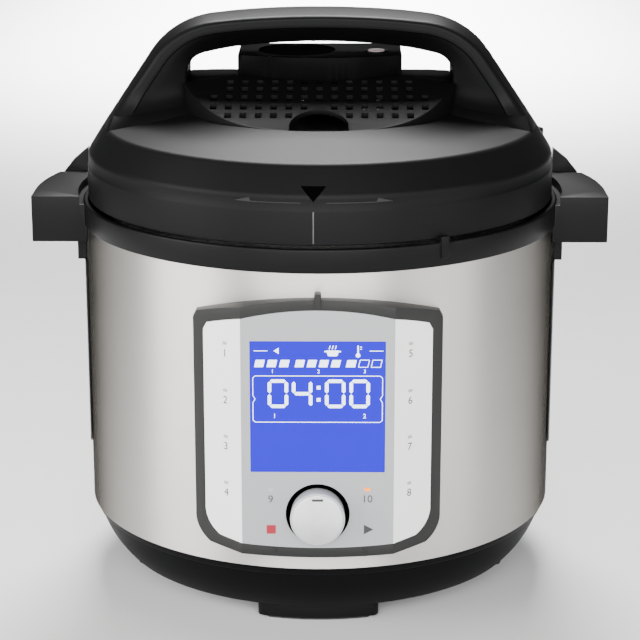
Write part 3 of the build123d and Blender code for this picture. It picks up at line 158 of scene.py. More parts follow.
# ------------------------------------------------------------------ the bench
class Workpiece:
    """One mesh being shaped, in millimetres, with its object at the origin."""

    def __init__(self, piece: bpy.types.Object, name: str) -> None:
        """Takes a new object in hand.

        Args:
            piece: The object.
            name: Its name from here on.
        """
        self.piece = piece
        piece.name = name
        piece.data.name = name

    # ---- making
    @staticmethod
    def clear() -> None:
        """Deselects everything, so that an operator acts only on what comes next."""
        if bpy.context.object and bpy.context.object.mode == "EDIT":
            bpy.ops.object.mode_set(mode="OBJECT")
        bpy.ops.object.select_all(action="DESELECT")

    @classmethod
    def wire(cls, name: str, points: list[Vector]) -> "Workpiece":
        """Traces a wire by extruding one vertex from point to point.

        Args:
            name: Name of the piece.
            points: The points to go through.

        Returns:
            The piece, left in edit mode with everything selected.
        """
        cls.clear()
        bpy.ops.mesh.primitive_plane_add(size=1.0)
        made = cls(bpy.context.active_object, name)
        bpy.ops.object.mode_set(mode="EDIT")
        bpy.ops.mesh.select_all(action="SELECT")
        bpy.ops.mesh.merge(type="CENTER")
        bpy.ops.transform.translate(value=points[0])
        for before, after in zip(points, points[1:]):
            bpy.ops.mesh.extrude_vertices_move(TRANSFORM_OT_translate={"value": after - before})
        bpy.ops.mesh.select_all(action="SELECT")
        return made

    @classmethod
    def turned(
        cls, name: str, profile: list[Point], axis: Axis = Axis.UP, steps: int = 144, sweep: float = 360.0
    ) -> "Workpiece":
        """Spins a closed profile round an axis through the origin.

        Args:
            name: Name of the piece.
            profile: Radius and height of each point, in order; it may start and end on the axis.
            axis: Axis to spin round.
            steps: Steps of the spin.
            sweep: Angle to spin through, in degrees; under a full turn the ends are left open.

        Returns:
            The piece, in object mode.
        """
        points = [axis.point(r, 0, h) if axis is Axis.UP else axis.point(r, 0, -h) for r, h in profile]
        if profile[0][0] > 0 or profile[-1][0] > 0:
            points.append(points[0])
        made = cls.wire(name, points)
        bpy.ops.mesh.spin(
            steps=steps, angle=radians(sweep), center=(0, 0, 0), axis=axis.direction,
            use_auto_merge=sweep == 360
        )
        return made.tidy()

    @classmethod
    def prism(
        cls, name: str, outline: list[Point], axis: Axis, near: float, far: float, steps: int = 1
    ) -> "Workpiece":
        """Fills a closed outline and extrudes it along an axis.

        Args:
            name: Name of the piece.
            outline: The outline's points, in order.
            axis: Axis to extrude along.
            near: Where the outline lies on the axis.
            far: Where the extrusion ends.
            steps: Number of equal steps that it is made in.

        Returns:
            The piece, in object mode.
        """
        points = [axis.point(across, along, near) for across, along in outline]
        made = cls.wire(name, points)
        bpy.ops.mesh.edge_face_add()
        for _ in range(steps):
            shift = axis.direction * (far - near) / steps
            bpy.ops.mesh.extrude_region_move(TRANSFORM_OT_translate={"value": shift})
        bpy.ops.mesh.select_all(action="SELECT")
        return made.tidy()

    @classmethod
    def rod(cls, name: str, radius: float, low: Vector, height: float, sides: int = 48) -> "Workpiece":
        """Upright cylinder, as a tool for cuts or the start of a post.

        Args:
            name: Name of the piece.
            radius: Its radius.
            low: Middle of its lower face.
            height: Its height.
            sides: Number of sides.

        Returns:
            The piece, in object mode.
        """
        cls.clear()
        middle = low + Vector((0, 0, height / 2))
        bpy.ops.mesh.primitive_cylinder_add(vertices=sides, radius=radius, depth=height, location=middle)
        made = cls(bpy.context.active_object, name)
        bpy.ops.object.transform_apply(location=True)
        return made

    @classmethod
    def copy_of(cls, node: str, name: str) -> "Workpiece":
        """Copy of a CAD node's mesh, merged and cleared of split flat faces.

        Args:
            node: The CAD node.
            name: Name of the copy.

        Returns:
            The piece, in object mode.
        """
        cls.clear()
        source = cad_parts[node]
        mesh = source.data.copy()
        mesh.materials.clear()
        mesh.transform(Matrix.Scale(1 / MM, 4))
        copy = bpy.data.objects.new(name, mesh)
        bpy.context.scene.collection.objects.link(copy)
        made = cls(copy, name)
        made.hold()
        bpy.ops.mesh.customdata_custom_splitnormals_clear()
        bpy.ops.object.mode_set(mode="EDIT")
        bpy.ops.mesh.select_all(action="SELECT")
        bpy.ops.mesh.remove_doubles(threshold=0.002)
        bpy.ops.mesh.dissolve_limited(angle_limit=radians(0.4))
        bpy.ops.object.mode_set(mode="OBJECT")
        return made

    @classmethod
    def lettered(cls, name: str, body: str, size: float, thickness: float) -> "Workpiece":
        """Numerals standing in the front plane, centred on the origin.

        Args:
            name: Name of the piece.
            body: The numerals.
            size: Height of the type.
            thickness: How thick the print is.

        Returns:
            The piece, in object mode.
        """
        cls.clear()
        bpy.ops.object.text_add(location=(0, 0, 0), rotation=(pi / 2, 0, 0))
        text = bpy.context.active_object
        text.data.body = body
        text.data.size = size
        text.data.align_x = "CENTER"
        text.data.align_y = "CENTER"
        text.data.extrude = thickness / 2
        text.data.resolution_u = 4
        bpy.ops.object.convert(target="MESH")
        bpy.ops.object.transform_apply(rotation=True)
        made = cls(bpy.context.active_object, name)
        return made.tidy()

    # ---- holding
    def hold(self) -> None:
        """Makes this the only selected and the active object, in object mode."""
        self.clear()
        self.piece.select_set(True)
        bpy.context.view_layer.objects.active = self.piece

    def tidy(self) -> "Workpiece":
        """Merges doubles, turns faces outwards and goes back to object mode."""
        if self.piece.mode != "EDIT":
            self.hold()
            bpy.ops.object.mode_set(mode="EDIT")
        bpy.ops.mesh.select_all(action="SELECT")
        bpy.ops.mesh.remove_doubles(threshold=1e-4)
        bpy.ops.mesh.normals_make_consistent(inside=False)
        bpy.ops.object.mode_set(mode="OBJECT")
        return self

    def apply(self, kind: str, **settings: object) -> "Workpiece":
        """Adds a modifier and applies it.

        Args:
            kind: The modifier's type.
            **settings: Its settings.

        Returns:
            This piece.
        """
        self.hold()
        modifier = self.piece.modifiers.new(kind.title(), kind)
        for key, value in settings.items():
            setattr(modifier, key, value)
        bpy.ops.object.modifier_apply(modifier=modifier.name)
        return self

    # ---- shaping
    def soften(self, width: float, angle: float = 35.0, segments: int = 2) -> "Workpiece":
        """Rounds every edge sharper than an angle.

        Args:
            width: Width of the rounding.
            angle: Edges that turn less than this, in degrees, stay.
            segments: Segments across the rounding.

        Returns:
            This piece.
        """
        return self.apply(
            "BEVEL", width=width, segments=segments, limit_method="ANGLE",
            angle_limit=radians(angle), profile=0.5
        )

    def boolean(self, other: "Workpiece", operation: str) -> "Workpiece":
        """Cuts, joins or trims this piece with another, which is used up.

        Args:
            other: The other piece.
            operation: The modifier's operation.

        Returns:
            This piece.
        """
        self.apply("BOOLEAN", operation=operation, object=other.piece, solver="EXACT")
        bpy.data.objects.remove(other.piece)
        return self

    def cut(self, other: "Workpiece") -> "Workpiece":
        """Takes another piece away from this one."""
        return self.boolean(other, "DIFFERENCE")

    def fuse(self, other: "Workpiece") -> "Workpiece":
        """Joins another piece to this one as one skin."""
        return self.boolean(other, "UNION")

    def trim(self, other: "Workpiece") -> "Workpiece":
        """Keeps only what lies inside another piece."""
        return self.boolean(other, "INTERSECT")

    def gather(self, others: list["Workpiece"]) -> "Workpiece":
        """Joins separate shells into this piece's mesh, each with its own faces."""
        self.hold()
        for other in others:
            other.piece.select_set(True)
        bpy.ops.object.join()
        return self

    def twin(self) -> "Workpiece":
        """Copy of this piece with its own mesh."""
        self.hold()
        bpy.ops.object.duplicate(linked=False)
        return Workpiece(bpy.context.active_object, self.piece.name + "_copy")

    def move(self, shift: Vector) -> "Workpiece":
        """Moves the mesh by a shift."""
        self.hold()
        bpy.ops.transform.translate(value=shift)
        bpy.ops.object.transform_apply(location=True, rotation=False, scale=False)
        return self

    def turn(self, angle: float, axis: Axis = Axis.UP) -> "Workpiece":
        """Turns the mesh round an axis through the origin, anticlockwise as the axis points at the viewer.

        Args:
            angle: The angle in degrees.
            axis: The axis.

        Returns:
            This piece.
        """
        self.hold()
        self.piece.rotation_euler = axis.direction * radians(angle)
        bpy.ops.object.transform_apply(location=False, rotation=True, scale=False)
        return self

    def mirrored(self) -> "Workpiece":
        """Twin on the other side of the middle plane, with its faces outwards."""
        other = self.twin()
        other.hold()
        other.piece.scale = (-1, 1, 1)
        bpy.ops.object.transform_apply(location=False, rotation=False, scale=True)
        return other.tidy()

    def bevel_where(self, test: Callable, width: float, segments: int) -> "Workpiece":
        """Rounds the edges whose two ends both pass a test.

        Args:
            test: Takes a vertex position and tells whether it counts.
            width: Width of the rounding.
            segments: Segments across the rounding.

        Returns:
            This piece.
        """
        self.hold()
        bpy.ops.object.mode_set(mode="EDIT")
        bpy.ops.mesh.select_all(action="DESELECT")
        bpy.ops.object.mode_set(mode="OBJECT")
        mesh = self.piece.data
        for edge in mesh.edges:
            edge.select = all(test(mesh.vertices[end].co) for end in edge.vertices)
        bpy.ops.object.mode_set(mode="EDIT")
        bpy.ops.mesh.select_mode(type="EDGE")
        bpy.ops.mesh.bevel(offset=width, segments=segments, profile=0.5, clamp_overlap=True)
        bpy.ops.mesh.select_mode(type="VERT")
        bpy.ops.object.mode_set(mode="OBJECT")
        return self

    def reshape(self, mover: Callable) -> "Workpiece":
        """Moves every vertex to where a function puts it."""
        for vertex in self.piece.data.vertices:
            vertex.co = mover(vertex.co)
        return self

    # ---- finishing
    def deliver(
        self,
        body: str,
        finish: "Finish",
        slot: str,
        replaces: tuple[str, ...] = (),
        smooth: float = 32.0,
    ) -> bpy.types.Object:
        """Brings the piece to metres, dresses it and hands it to a body of the frame.

        Args:
            body: CAD body that it rides on.
            finish: What it is made of.
            slot: The record's material slot; not used.
            replaces: CAD nodes that it stands for.
            smooth: Faces that meet at less than this angle, in degrees, are shaded as one.

        Returns:
            The finished object.
        """
        self.hold()
        self.piece.scale = (MM, MM, MM)
        bpy.ops.object.transform_apply(location=False, rotation=False, scale=True)
        bpy.ops.object.shade_smooth_by_angle(angle=radians(smooth))
        self.piece.data.materials.clear()
        self.piece.data.materials.append(finish.material())
        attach(self.piece, body)
        if replaces:
            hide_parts(*replaces)
        LOG.info("%s: %d faces, rides on %s", self.piece.name, len(self.piece.data.polygons), body)
        return self.piece


# ------------------------------------------------------------------ surface effects shared by the finishes
class Effect(Enum):
    """Node groups that the finishes share."""

    MOULDED = "moulded_skin"
    BRUSHED = "brushed_grain"
    SPUN = "spun_rings_painted_sheen"


@dataclass
class EffectShop:
    """Builds each shared effect once and hands it out."""

    built: dict[Effect, bpy.types.NodeTree] = field(default_factory=dict)

    def get(self, effect: Effect) -> bpy.types.NodeTree:
        """Returns the node group of an effect, built on first use."""
        if effect not in self.built:
            self.built[effect] = self.make(effect)
        return self.built[effect]

    def make(self, effect: Effect) -> bpy.types.NodeTree:
        """Builds one effect.

        All three take the place on the piece, a colour, a roughness, the pitch of their grain and the
        spread of their tone, and give a colour, a roughness and a height that change over the surface.
        The spun effect's broad tone is a painted sheen: lighter and darker sectors round the dial's middle.

        Args:
            effect: The effect to build.

        Returns:
            Its node group.
        """
        tree = bpy.data.node_groups.new(effect.value, "ShaderNodeTree")
        for name, kind in (
            ("Place", "NodeSocketVector"),
            ("Colour", "NodeSocketColor"),
            ("Roughness", "NodeSocketFloat"),
            ("Pitch", "NodeSocketFloat"),
            ("Spread", "NodeSocketFloat"),
        ):
            tree.interface.new_socket(name, in_out="INPUT", socket_type=kind)
        for name, kind in (
            ("Colour", "NodeSocketColor"),
            ("Roughness", "NodeSocketFloat"),
            ("Height", "NodeSocketFloat"),
        ):
            tree.interface.new_socket(name, in_out="OUTPUT", socket_type=kind)
        shop = NodeShop(tree)
        start = tree.nodes.new("NodeGroupInput")
        end = tree.nodes.new("NodeGroupOutput")
        place_out, pitch = start.outputs["Place"], start.outputs["Pitch"]
        if effect is Effect.MOULDED:
            fine = shop.noise(place_out, pitch, 3.0, 0.55)
            broad_tone_and_sheen = shop.noise(place_out, 16.0, 2.0, 0.5)
        elif effect is Effect.BRUSHED:
            streaks = shop.vector("MULTIPLY", place_out, (0.006, 0.006, 1.0))
            fine = shop.noise(streaks, pitch, 4.0, 0.7)
            broad_tone_and_sheen = shop.noise(shop.vector("MULTIPLY", place_out, (0.25, 0.25, 1.0)), 40.0, 2.0, 0.5)
        else:
            parts = tree.nodes.new("ShaderNodeSeparateXYZ")
            tree.links.new(place_out, parts.inputs[0])
            across = shop.maths("MULTIPLY", parts.outputs["X"], parts.outputs["X"])
            up = shop.maths("MULTIPLY", parts.outputs["Z"], parts.outputs["Z"])
            reach = shop.maths("SQRT", shop.maths("ADD", across, up))
            ring = tree.nodes.new("ShaderNodeCombineXYZ")
            tree.links.new(reach, ring.inputs["X"])
            fine = shop.noise(ring.outputs[0], pitch, 3.0, 0.7)
            # Painted sheen: the tone rises and falls twice round the dial's middle, sectors of painted highlight and
            # shade that stand in for the spun metal's fan-shaped reflection.
            turn = shop.maths("ARCTAN2", parts.outputs["X"], parts.outputs["Z"])
            broad_tone_and_sheen = shop.maths(
                "MULTIPLY_ADD", shop.maths("COSINE", shop.maths("MULTIPLY_ADD", turn, 2.0, 0.3)), 0.5, 0.5
            )
        swing = shop.maths("MULTIPLY", shop.maths("SUBTRACT", broad_tone_and_sheen, 0.5), start.outputs["Spread"])
        streak = shop.maths("MULTIPLY", shop.maths("SUBTRACT", fine, 0.5), start.outputs["Spread"])
        level = shop.maths("ADD", shop.maths("ADD", swing, streak), 1.0)
        tone = tree.nodes.new("ShaderNodeHueSaturation")
        tree.links.new(start.outputs["Colour"], tone.inputs["Color"])
        tree.links.new(level, tone.inputs["Value"])
        tree.links.new(tone.outputs[0], end.inputs["Colour"])
        rough = shop.maths("ADD", start.outputs["Roughness"], shop.maths("MULTIPLY", swing, 0.3))
        tree.links.new(
            shop.maths("ADD", rough, shop.maths("MULTIPLY", streak, 0.15)), end.inputs["Roughness"]
        )
        tree.links.new(fine, end.inputs["Height"])
        return tree


@dataclass
class NodeShop:
    """Adds linked nodes to one tree."""

    tree: bpy.types.NodeTree

    def feed(self, value: object, socket: bpy.types.NodeSocket) -> None:
        """Links a socket's output to an input, or sets the input to a plain value."""
        if isinstance(value, bpy.types.NodeSocket):
            self.tree.links.new(value, socket)
        else:
            socket.default_value = value

    def maths(self, operation: str, *values: object) -> bpy.types.NodeSocket:
        """Result of a Math node."""
        node = self.tree.nodes.new("ShaderNodeMath")
        node.operation = operation
        for value, socket in zip(values, node.inputs):
            self.feed(value, socket)
        return node.outputs[0]

    def vector(self, operation: str, *values: object) -> bpy.types.NodeSocket:
        """Result of a Vector Math node."""
        node = self.tree.nodes.new("ShaderNodeVectorMath")
        node.operation = operation
        for value, socket in zip(values, node.inputs):
            self.feed(value, socket)
        return node.outputs[0]

    def noise(self, where: object, scale: object, detail: float, rough: float) -> bpy.types.NodeSocket:
        """Factor of a Noise Texture at a place."""
        node = self.tree.nodes.new("ShaderNodeTexNoise")
        self.feed(where, node.inputs["Vector"])
        self.feed(scale, node.inputs["Scale"])
        node.inputs["Detail"].default_value = detail
        node.inputs["Roughness"].default_value = rough
        return node.outputs["Fac"]

    def mix(self, factor: object, first: object, second: object) -> bpy.types.NodeSocket:
        """Colour between two colours."""
        node = self.tree.nodes.new("ShaderNodeMix")
        node.data_type = "RGBA"
        self.feed(factor, node.inputs[0])
        self.feed(first, node.inputs[6])
        self.feed(second, node.inputs[7])
        return node.outputs[2]


EFFECTS = EffectShop()


# ------------------------------------------------------------------ finishes
@dataclass(frozen=True)
class Finish:
    """What a surface is made of, worked with one of the shared effects."""

    name: str
    colour: Colour
    roughness: float = 0.45
    effect: Effect = Effect.MOULDED
    pitch: float = 900.0
    spread: float = 0.12
    relief: float = 0.15
    metallic: float = 0.0
    coat: float = 0.0
    coat_roughness: float = 0.08
    specular: float = 0.5
    grain: float = 0.0
    edge_tint: float = 1.0
    radial: bool = False
    centre: tuple[float, float, float] = (0.0, 0.0, 0.0)

    @property
    def label(self) -> str:
        """Name of the Blender material, kept apart from those that the frame brings."""
        return f"{self.name}_finish"

    def material(self) -> bpy.types.Material:
        """Returns the Blender material, built on first use."""
        known = bpy.data.materials.get(self.label)
        return known if known else self.build()

    def build(self) -> bpy.types.Material:
        """Builds the material.

        Returns:
            A node material whose colour, roughness and relief change over the surface.
        """
        made = bpy.data.materials.new(self.label)
        made.use_nodes = True
        tree = made.node_tree
        shader = tree.nodes["Principled BSDF"]
        shop = NodeShop(tree)
        where = tree.nodes.new("ShaderNodeTexCoord").outputs["Object"]
        if any(self.centre):
            moved = tree.nodes.new("ShaderNodeMapping")
            tree.links.new(where, moved.inputs["Vector"])
            moved.inputs["Location"].default_value = [-value for value in self.centre]
            where = moved.outputs["Vector"]
        worked = tree.nodes.new("ShaderNodeGroup")
        worked.node_tree = EFFECTS.get(self.effect)
        tree.links.new(where, worked.inputs["Place"])
        shop.feed(self.base(shop, where), worked.inputs["Colour"])
        worked.inputs["Roughness"].default_value = self.roughness
        worked.inputs["Pitch"].default_value = self.pitch
        worked.inputs["Spread"].default_value = self.spread
        tree.links.new(worked.outputs["Colour"], shader.inputs["Base Color"])
        tree.links.new(worked.outputs["Roughness"], shader.inputs["Roughness"])
        bump = tree.nodes.new("ShaderNodeBump")
        bump.inputs["Strength"].default_value = self.relief
        bump.inputs["Distance"].default_value = 0.0002
        tree.links.new(worked.outputs["Height"], bump.inputs["Height"])
        tree.links.new(bump.outputs["Normal"], shader.inputs["Normal"])
        shader.inputs["Metallic"].default_value = self.metallic
        shader.inputs["Coat Weight"].default_value = self.coat
        shader.inputs["Coat Roughness"].default_value = self.coat_roughness
        shader.inputs["Specular IOR Level"].default_value = self.specular
        shader.inputs["Anisotropic"].default_value = self.grain
        shader.inputs["Anisotropic Rotation"].default_value = 0.0 if self.radial else 0.25
        # A tint below white fades a metal's reflection at grazing angles; the wrap's black tint paints shade on its
        # sides.
        shader.inputs["Specular Tint"].default_value = (*[self.edge_tint] * 3, 1.0)
        if self.radial:
            tangent = tree.nodes.new("ShaderNodeTangent")
            tangent.direction_type, tangent.axis = "RADIAL", "Y"
            tree.links.new(tangent.outputs["Tangent"], shader.inputs["Tangent"])
        self.extras(shop, shader, worked.outputs["Colour"])
        return made

    def base(self, shop: NodeShop, where: bpy.types.NodeSocket) -> object:
        """Colour that goes into the effect: plain here, patterned in some finishes."""
        return (*self.colour, 1.0)

    def extras(
        self, shop: NodeShop, shader: bpy.types.Node, colour: bpy.types.NodeSocket
    ) -> None:
        """Whatever else a finish sets on the shader; nothing here."""


@dataclass(frozen=True)
class Glow(Finish):
    """Lit surface, such as a backlit display or a lamp."""

    strength: float = 1.0

    def extras(
        self, shop: NodeShop, shader: bpy.types.Node, colour: bpy.types.NodeSocket
    ) -> None:
        """Lets the surface give off its own colour."""
        shop.tree.links.new(colour, shader.inputs["Emission Color"])
        shader.inputs["Emission Strength"].default_value = self.strength


@dataclass(frozen=True)
class Clear(Finish):
    """Clear plastic or glass."""

    passing: float = 0.9

    def extras(
        self, shop: NodeShop, shader: bpy.types.Node, colour: bpy.types.NodeSocket
    ) -> None:
        """Lets light through."""
        shader.inputs["Transmission Weight"].default_value = self.passing
        shader.inputs["IOR"].default_value = 1.49


@dataclass(frozen=True)
class PanelFilm(Finish):
    """Printed film: silver between its two folds and white outside them."""

    side_colour: Colour = (0.8, 0.8, 0.8)
    fold: float = 0.041

    def base(self, shop: NodeShop, where: bpy.types.NodeSocket) -> object:
        """Colour that changes at the folds.

        Args:
            shop: Node shop of the material's tree.
            where: Place on the piece.

        Returns:
            The mixed colour's socket.
        """
        parts = shop.tree.nodes.new("ShaderNodeSeparateXYZ")
        shop.tree.links.new(where, parts.inputs[0])
        outside = shop.maths("GREATER_THAN", shop.maths("ABSOLUTE", parts.outputs["X"]), self.fold)
        return shop.mix(outside, (*self.colour, 1.0), (*self.side_colour, 1.0))


@dataclass(frozen=True)
class Circuit(Finish):
    """Lacquered board with rows of copper tracks."""

    track_colour: Colour = (0.35, 0.3, 0.08)

    def base(self, shop: NodeShop, where: bpy.types.NodeSocket) -> object:
        """Colour of board and tracks.

        Args:
            shop: Node shop of the material's tree.
            where: Place on the piece.

        Returns:
            The mixed colour's socket.
        """
        bricks = shop.tree.nodes.new("ShaderNodeTexBrick")
        shop.tree.links.new(where, bricks.inputs["Vector"])
        bricks.inputs["Scale"].default_value = 120.0
        bricks.inputs["Mortar Size"].default_value = 0.03
        bricks.inputs["Color1"].default_value = (*self.colour, 1.0)
        bricks.inputs["Color2"].default_value = (*self.colour, 1.0)
        bricks.inputs["Mortar"].default_value = (*self.track_colour, 1.0)
        return bricks.outputs["Color"]


@dataclass(frozen=True)
class Palette:
    """Every finish that the cooker uses."""

    satin: Finish = Finish(
        "satin_black_plastic", (0.003, 0.003, 0.0032), 0.4, pitch=1500.0, relief=0.12, specular=0.12
    )
    textured: Finish = Finish(
        "textured_black_plastic", (0.0035, 0.0035, 0.0037), 0.47, pitch=1100.0, relief=0.2,
        specular=0.1
    )
    gloss: Finish = Finish(
        "gloss_black_plastic", (0.002, 0.002, 0.0022), 0.28, pitch=300.0, spread=0.08, relief=0.02,
        specular=0.1
    )
    block: Finish = Finish("valve_black_plastic", (0.0015, 0.0015, 0.0016), 0.3, relief=0.04, specular=0.02)
    bezel: Finish = Finish(
        "satin_grey_bezel", (0.016, 0.016, 0.0155), 0.4, pitch=1200.0, relief=0.1, specular=0.25
    )
    bowl: Finish = Finish(
        "matt_black_plastic", (0.0025, 0.0025, 0.0027), 0.5, pitch=1300.0, relief=0.12, specular=0.05
    )
    # Near-black with no reflection at all: painted shade in the index triangle's recess, on the release button under
    # the arch and in the gap round the dial.
    well: Finish = Finish("black_painted_shade", (0.001, 0.001, 0.001), 0.6, relief=0.1, specular=0.0)
    rubber: Finish = Finish("foot_rubber", (0.03, 0.03, 0.03), 0.8, pitch=700.0, relief=0.3)
    wrap: Finish = Finish(
        "brushed_steel_wrap", (0.62, 0.595, 0.565), 0.42, Effect.BRUSHED, 5200.0, 0.1, 0.1,
        metallic=1.0, grain=0.85,
        # Black specular tint: the steel's reflection fades towards grazing angles, painted shade on the wrap's sides.
        edge_tint=0.0,
    )
    steel: Finish = Finish(
        "drawn_steel", (0.64, 0.63, 0.61), 0.24, Effect.BRUSHED, 3000.0, 0.08, 0.08, metallic=1.0
    )
    bright: Finish = Finish("bright_plate", (0.72, 0.72, 0.7), 0.22, pitch=500.0, relief=0.05, metallic=1.0)
    cast: Finish = Finish("machined_aluminium", (0.6, 0.6, 0.6), 0.38, pitch=400.0, relief=0.12, metallic=1.0)
    ivory: Finish = Finish("heat_resistant_plastic", (0.6, 0.57, 0.5), 0.5, pitch=700.0)
    film: Finish = PanelFilm(
        "panel_film", (0.33, 0.335, 0.345), 0.34, pitch=4000.0, spread=0.05, relief=0.03,
        side_colour=(0.88, 0.88, 0.87)
    )
    board: Finish = Circuit("circuit_board", (0.02, 0.14, 0.05), 0.35, pitch=300.0)
    relay: Finish = Finish("relay_case", (0.03, 0.1, 0.35), 0.4, pitch=500.0)
    display: Finish = Glow(
        "blue_display", (0.006, 0.0, 0.2), 0.5, pitch=30.0, spread=0.06, relief=0.0, specular=0.02,
        strength=5.0
    )
    lit: Finish = Glow(
        "lit_segments", (0.8, 0.9, 1.0), 0.4, pitch=40.0, spread=0.04, relief=0.0, strength=1.6
    )
    pale_ink: Finish = Finish("pale_print", (0.4, 0.4, 0.4), 0.5, pitch=900.0, spread=0.1, relief=0.05)
    dark_ink: Finish = Finish("dark_print", (0.03, 0.03, 0.032), 0.5, pitch=900.0, spread=0.1, relief=0.05)
    red_ink: Finish = Finish("red_print", (0.32, 0.005, 0.02), 0.5, pitch=900.0, spread=0.1, relief=0.05)
    amber: Finish = Glow(
        "amber_lamp", (1.0, 0.26, 0.0), 0.4, pitch=200.0, spread=0.08, relief=0.0, strength=0.9
    )
    dial_side: Finish = Finish(
        "silver_grey_plastic", (0.5, 0.5, 0.51), 0.3, pitch=1500.0, relief=0.04, coat=0.3
    )
    cup: Finish = Clear("clear_smoky_plastic", (0.75, 0.78, 0.8), 0.12, pitch=60.0, spread=0.05, relief=0.02)
    silicone: Finish = Finish("translucent_silicone", (0.55, 0.55, 0.53), 0.45, pitch=250.0, relief=0.06)
    floor: Finish = Finish("pale_floor", (0.78, 0.78, 0.78), 0.55, pitch=60.0, spread=0.01, relief=0.0)
    # Pale grey for a black rib: a painted highlight along the index rib's edge.
    arrow: Finish = Finish("rib_painted_highlight", (0.06, 0.06, 0.062), 0.4, pitch=1500.0, relief=0.05)
    emboss: Finish = Finish(
        "raised_black_plastic", (0.012, 0.012, 0.0125), 0.35, pitch=1500.0, relief=0.05,
        specular=0.3
    )
    pin: Finish = Finish("float_silver", (0.52, 0.42, 0.43), 0.35, pitch=900.0, spread=0.2, relief=0.1)

    def spun(self, centre: tuple[float, float, float]) -> Finish:
        """Spun aluminium whose rings and painted fan-shaped sheen run round a point of the front, in metres."""
        return Finish(
            "spun_aluminium_painted_sheen", (0.86, 0.86, 0.87), 0.3, Effect.SPUN, 2600.0, 0.16, 0.05,
            metallic=1.0, centre=centre,
            grain=0.9, radial=True,
        )


PALETTE = Palette()


def dress(finish: Finish, *nodes: str) -> None:
    """Gives CAD nodes whose shape is right a finish of their own."""
    for node in nodes:
        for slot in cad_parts[node].material_slots:
            slot.material = finish.material()
        LOG.info("%s: CAD shape kept, dressed as %s", node, finish.name)


# ------------------------------------------------------------------ studio
@dataclass
class Studio:
    """Floor, soft lights and camera, in metres."""

    floor_reach: float = 12.0
    distance: float = 1.2075
    azimuth: float = 0.5
    height: float = 0.4938
    tilt: float = 73.865
    lens: float = 118.4
    sensor: float = 36.0

    def floor(self) -> None:
        """Lays the floor that the feet stand on."""
        Workpiece.clear()
        bpy.ops.mesh.primitive_plane_add(size=self.floor_reach, location=(0, 0, 0))
        floor = bpy.context.active_object
        floor.name = "studio_floor"
        floor.data.materials.append(PALETTE.floor.material())

    def world(self, level: float) -> None:
        """Fills the room with an even pale light.

        Args:
            level: Strength of the light.
        """
        world = bpy.data.worlds.new("studio_world")
        world.use_nodes = True
        sky = world.node_tree.nodes["Background"]
        sky.inputs["Color"].default_value = (1.0, 1.0, 1.0, 1.0)
        sky.inputs["Strength"].default_value = level
        bpy.context.scene.world = world

    def softbox(
        self,
        name: str,
        spot: tuple[float, float, float],
        aim: tuple[float, float, float],
        size: Point,
        power: float,
        spread: float,
    ) -> None:
        """Hangs one soft light.

        Args:
            name: Name of the light.
            spot: Where it hangs.
            aim: Point that it is turned to.
            size: Its width and height.
            power: Its power in watts.
            spread: Angle that its beam opens to, in degrees.
        """
        light = bpy.data.lights.new(name, "AREA")
        light.shape = "RECTANGLE"
        light.size, light.size_y = size
        light.energy = power
        light.spread = radians(spread)
        lamp = bpy.data.objects.new(name, light)
        bpy.context.scene.collection.objects.link(lamp)
        lamp.location = spot
        toward = Vector(aim) - Vector(spot)
        lamp.rotation_euler = toward.to_track_quat("-Z", "Y").to_euler()

    def camera(self) -> None:
        """Sets the camera up in front of the panel, looking a little down."""
        lens = bpy.data.cameras.new("studio_camera")
        lens.lens, lens.sensor_width = self.lens, self.sensor
        camera = bpy.data.objects.new("studio_camera", lens)
        bpy.context.scene.collection.objects.link(camera)
        turn = radians(self.azimuth)
        camera.location = (self.distance * sin(turn), -self.distance * cos(turn), self.height)
        camera.rotation_euler = (radians(self.tilt), 0.0, turn)
        bpy.context.scene.camera = camera

    def build(self) -> None:
        """Sets up the whole studio."""
        self.floor()
        self.world(0.05)
        self.softbox("front_softbox", (0.0, -2.6, 1.1), (0.0, 0.0, 0.12), (3.2, 1.6), 150.0, 180.0)
        self.softbox("left_softbox", (-2.3, -1.1, 0.9), (0.0, 0.0, 0.12), (1.8, 1.4), 84.0, 180.0)
        self.softbox("right_softbox", (2.3, -1.4, 0.7), (0.0, 0.0, 0.12), (1.8, 1.2), 27.0, 180.0)
        self.softbox("top_softbox", (0.0, 1.1, 1.7), (0.0, 0.0, 0.3), (0.9, 0.8), 23.0, 90.0)
        self.softbox("backdrop_wash", (0.0, 2.7, 2.2), (0.0, 2.6, 0.0), (0.9, 2.4), 130.0, 40.0)
        self.camera()


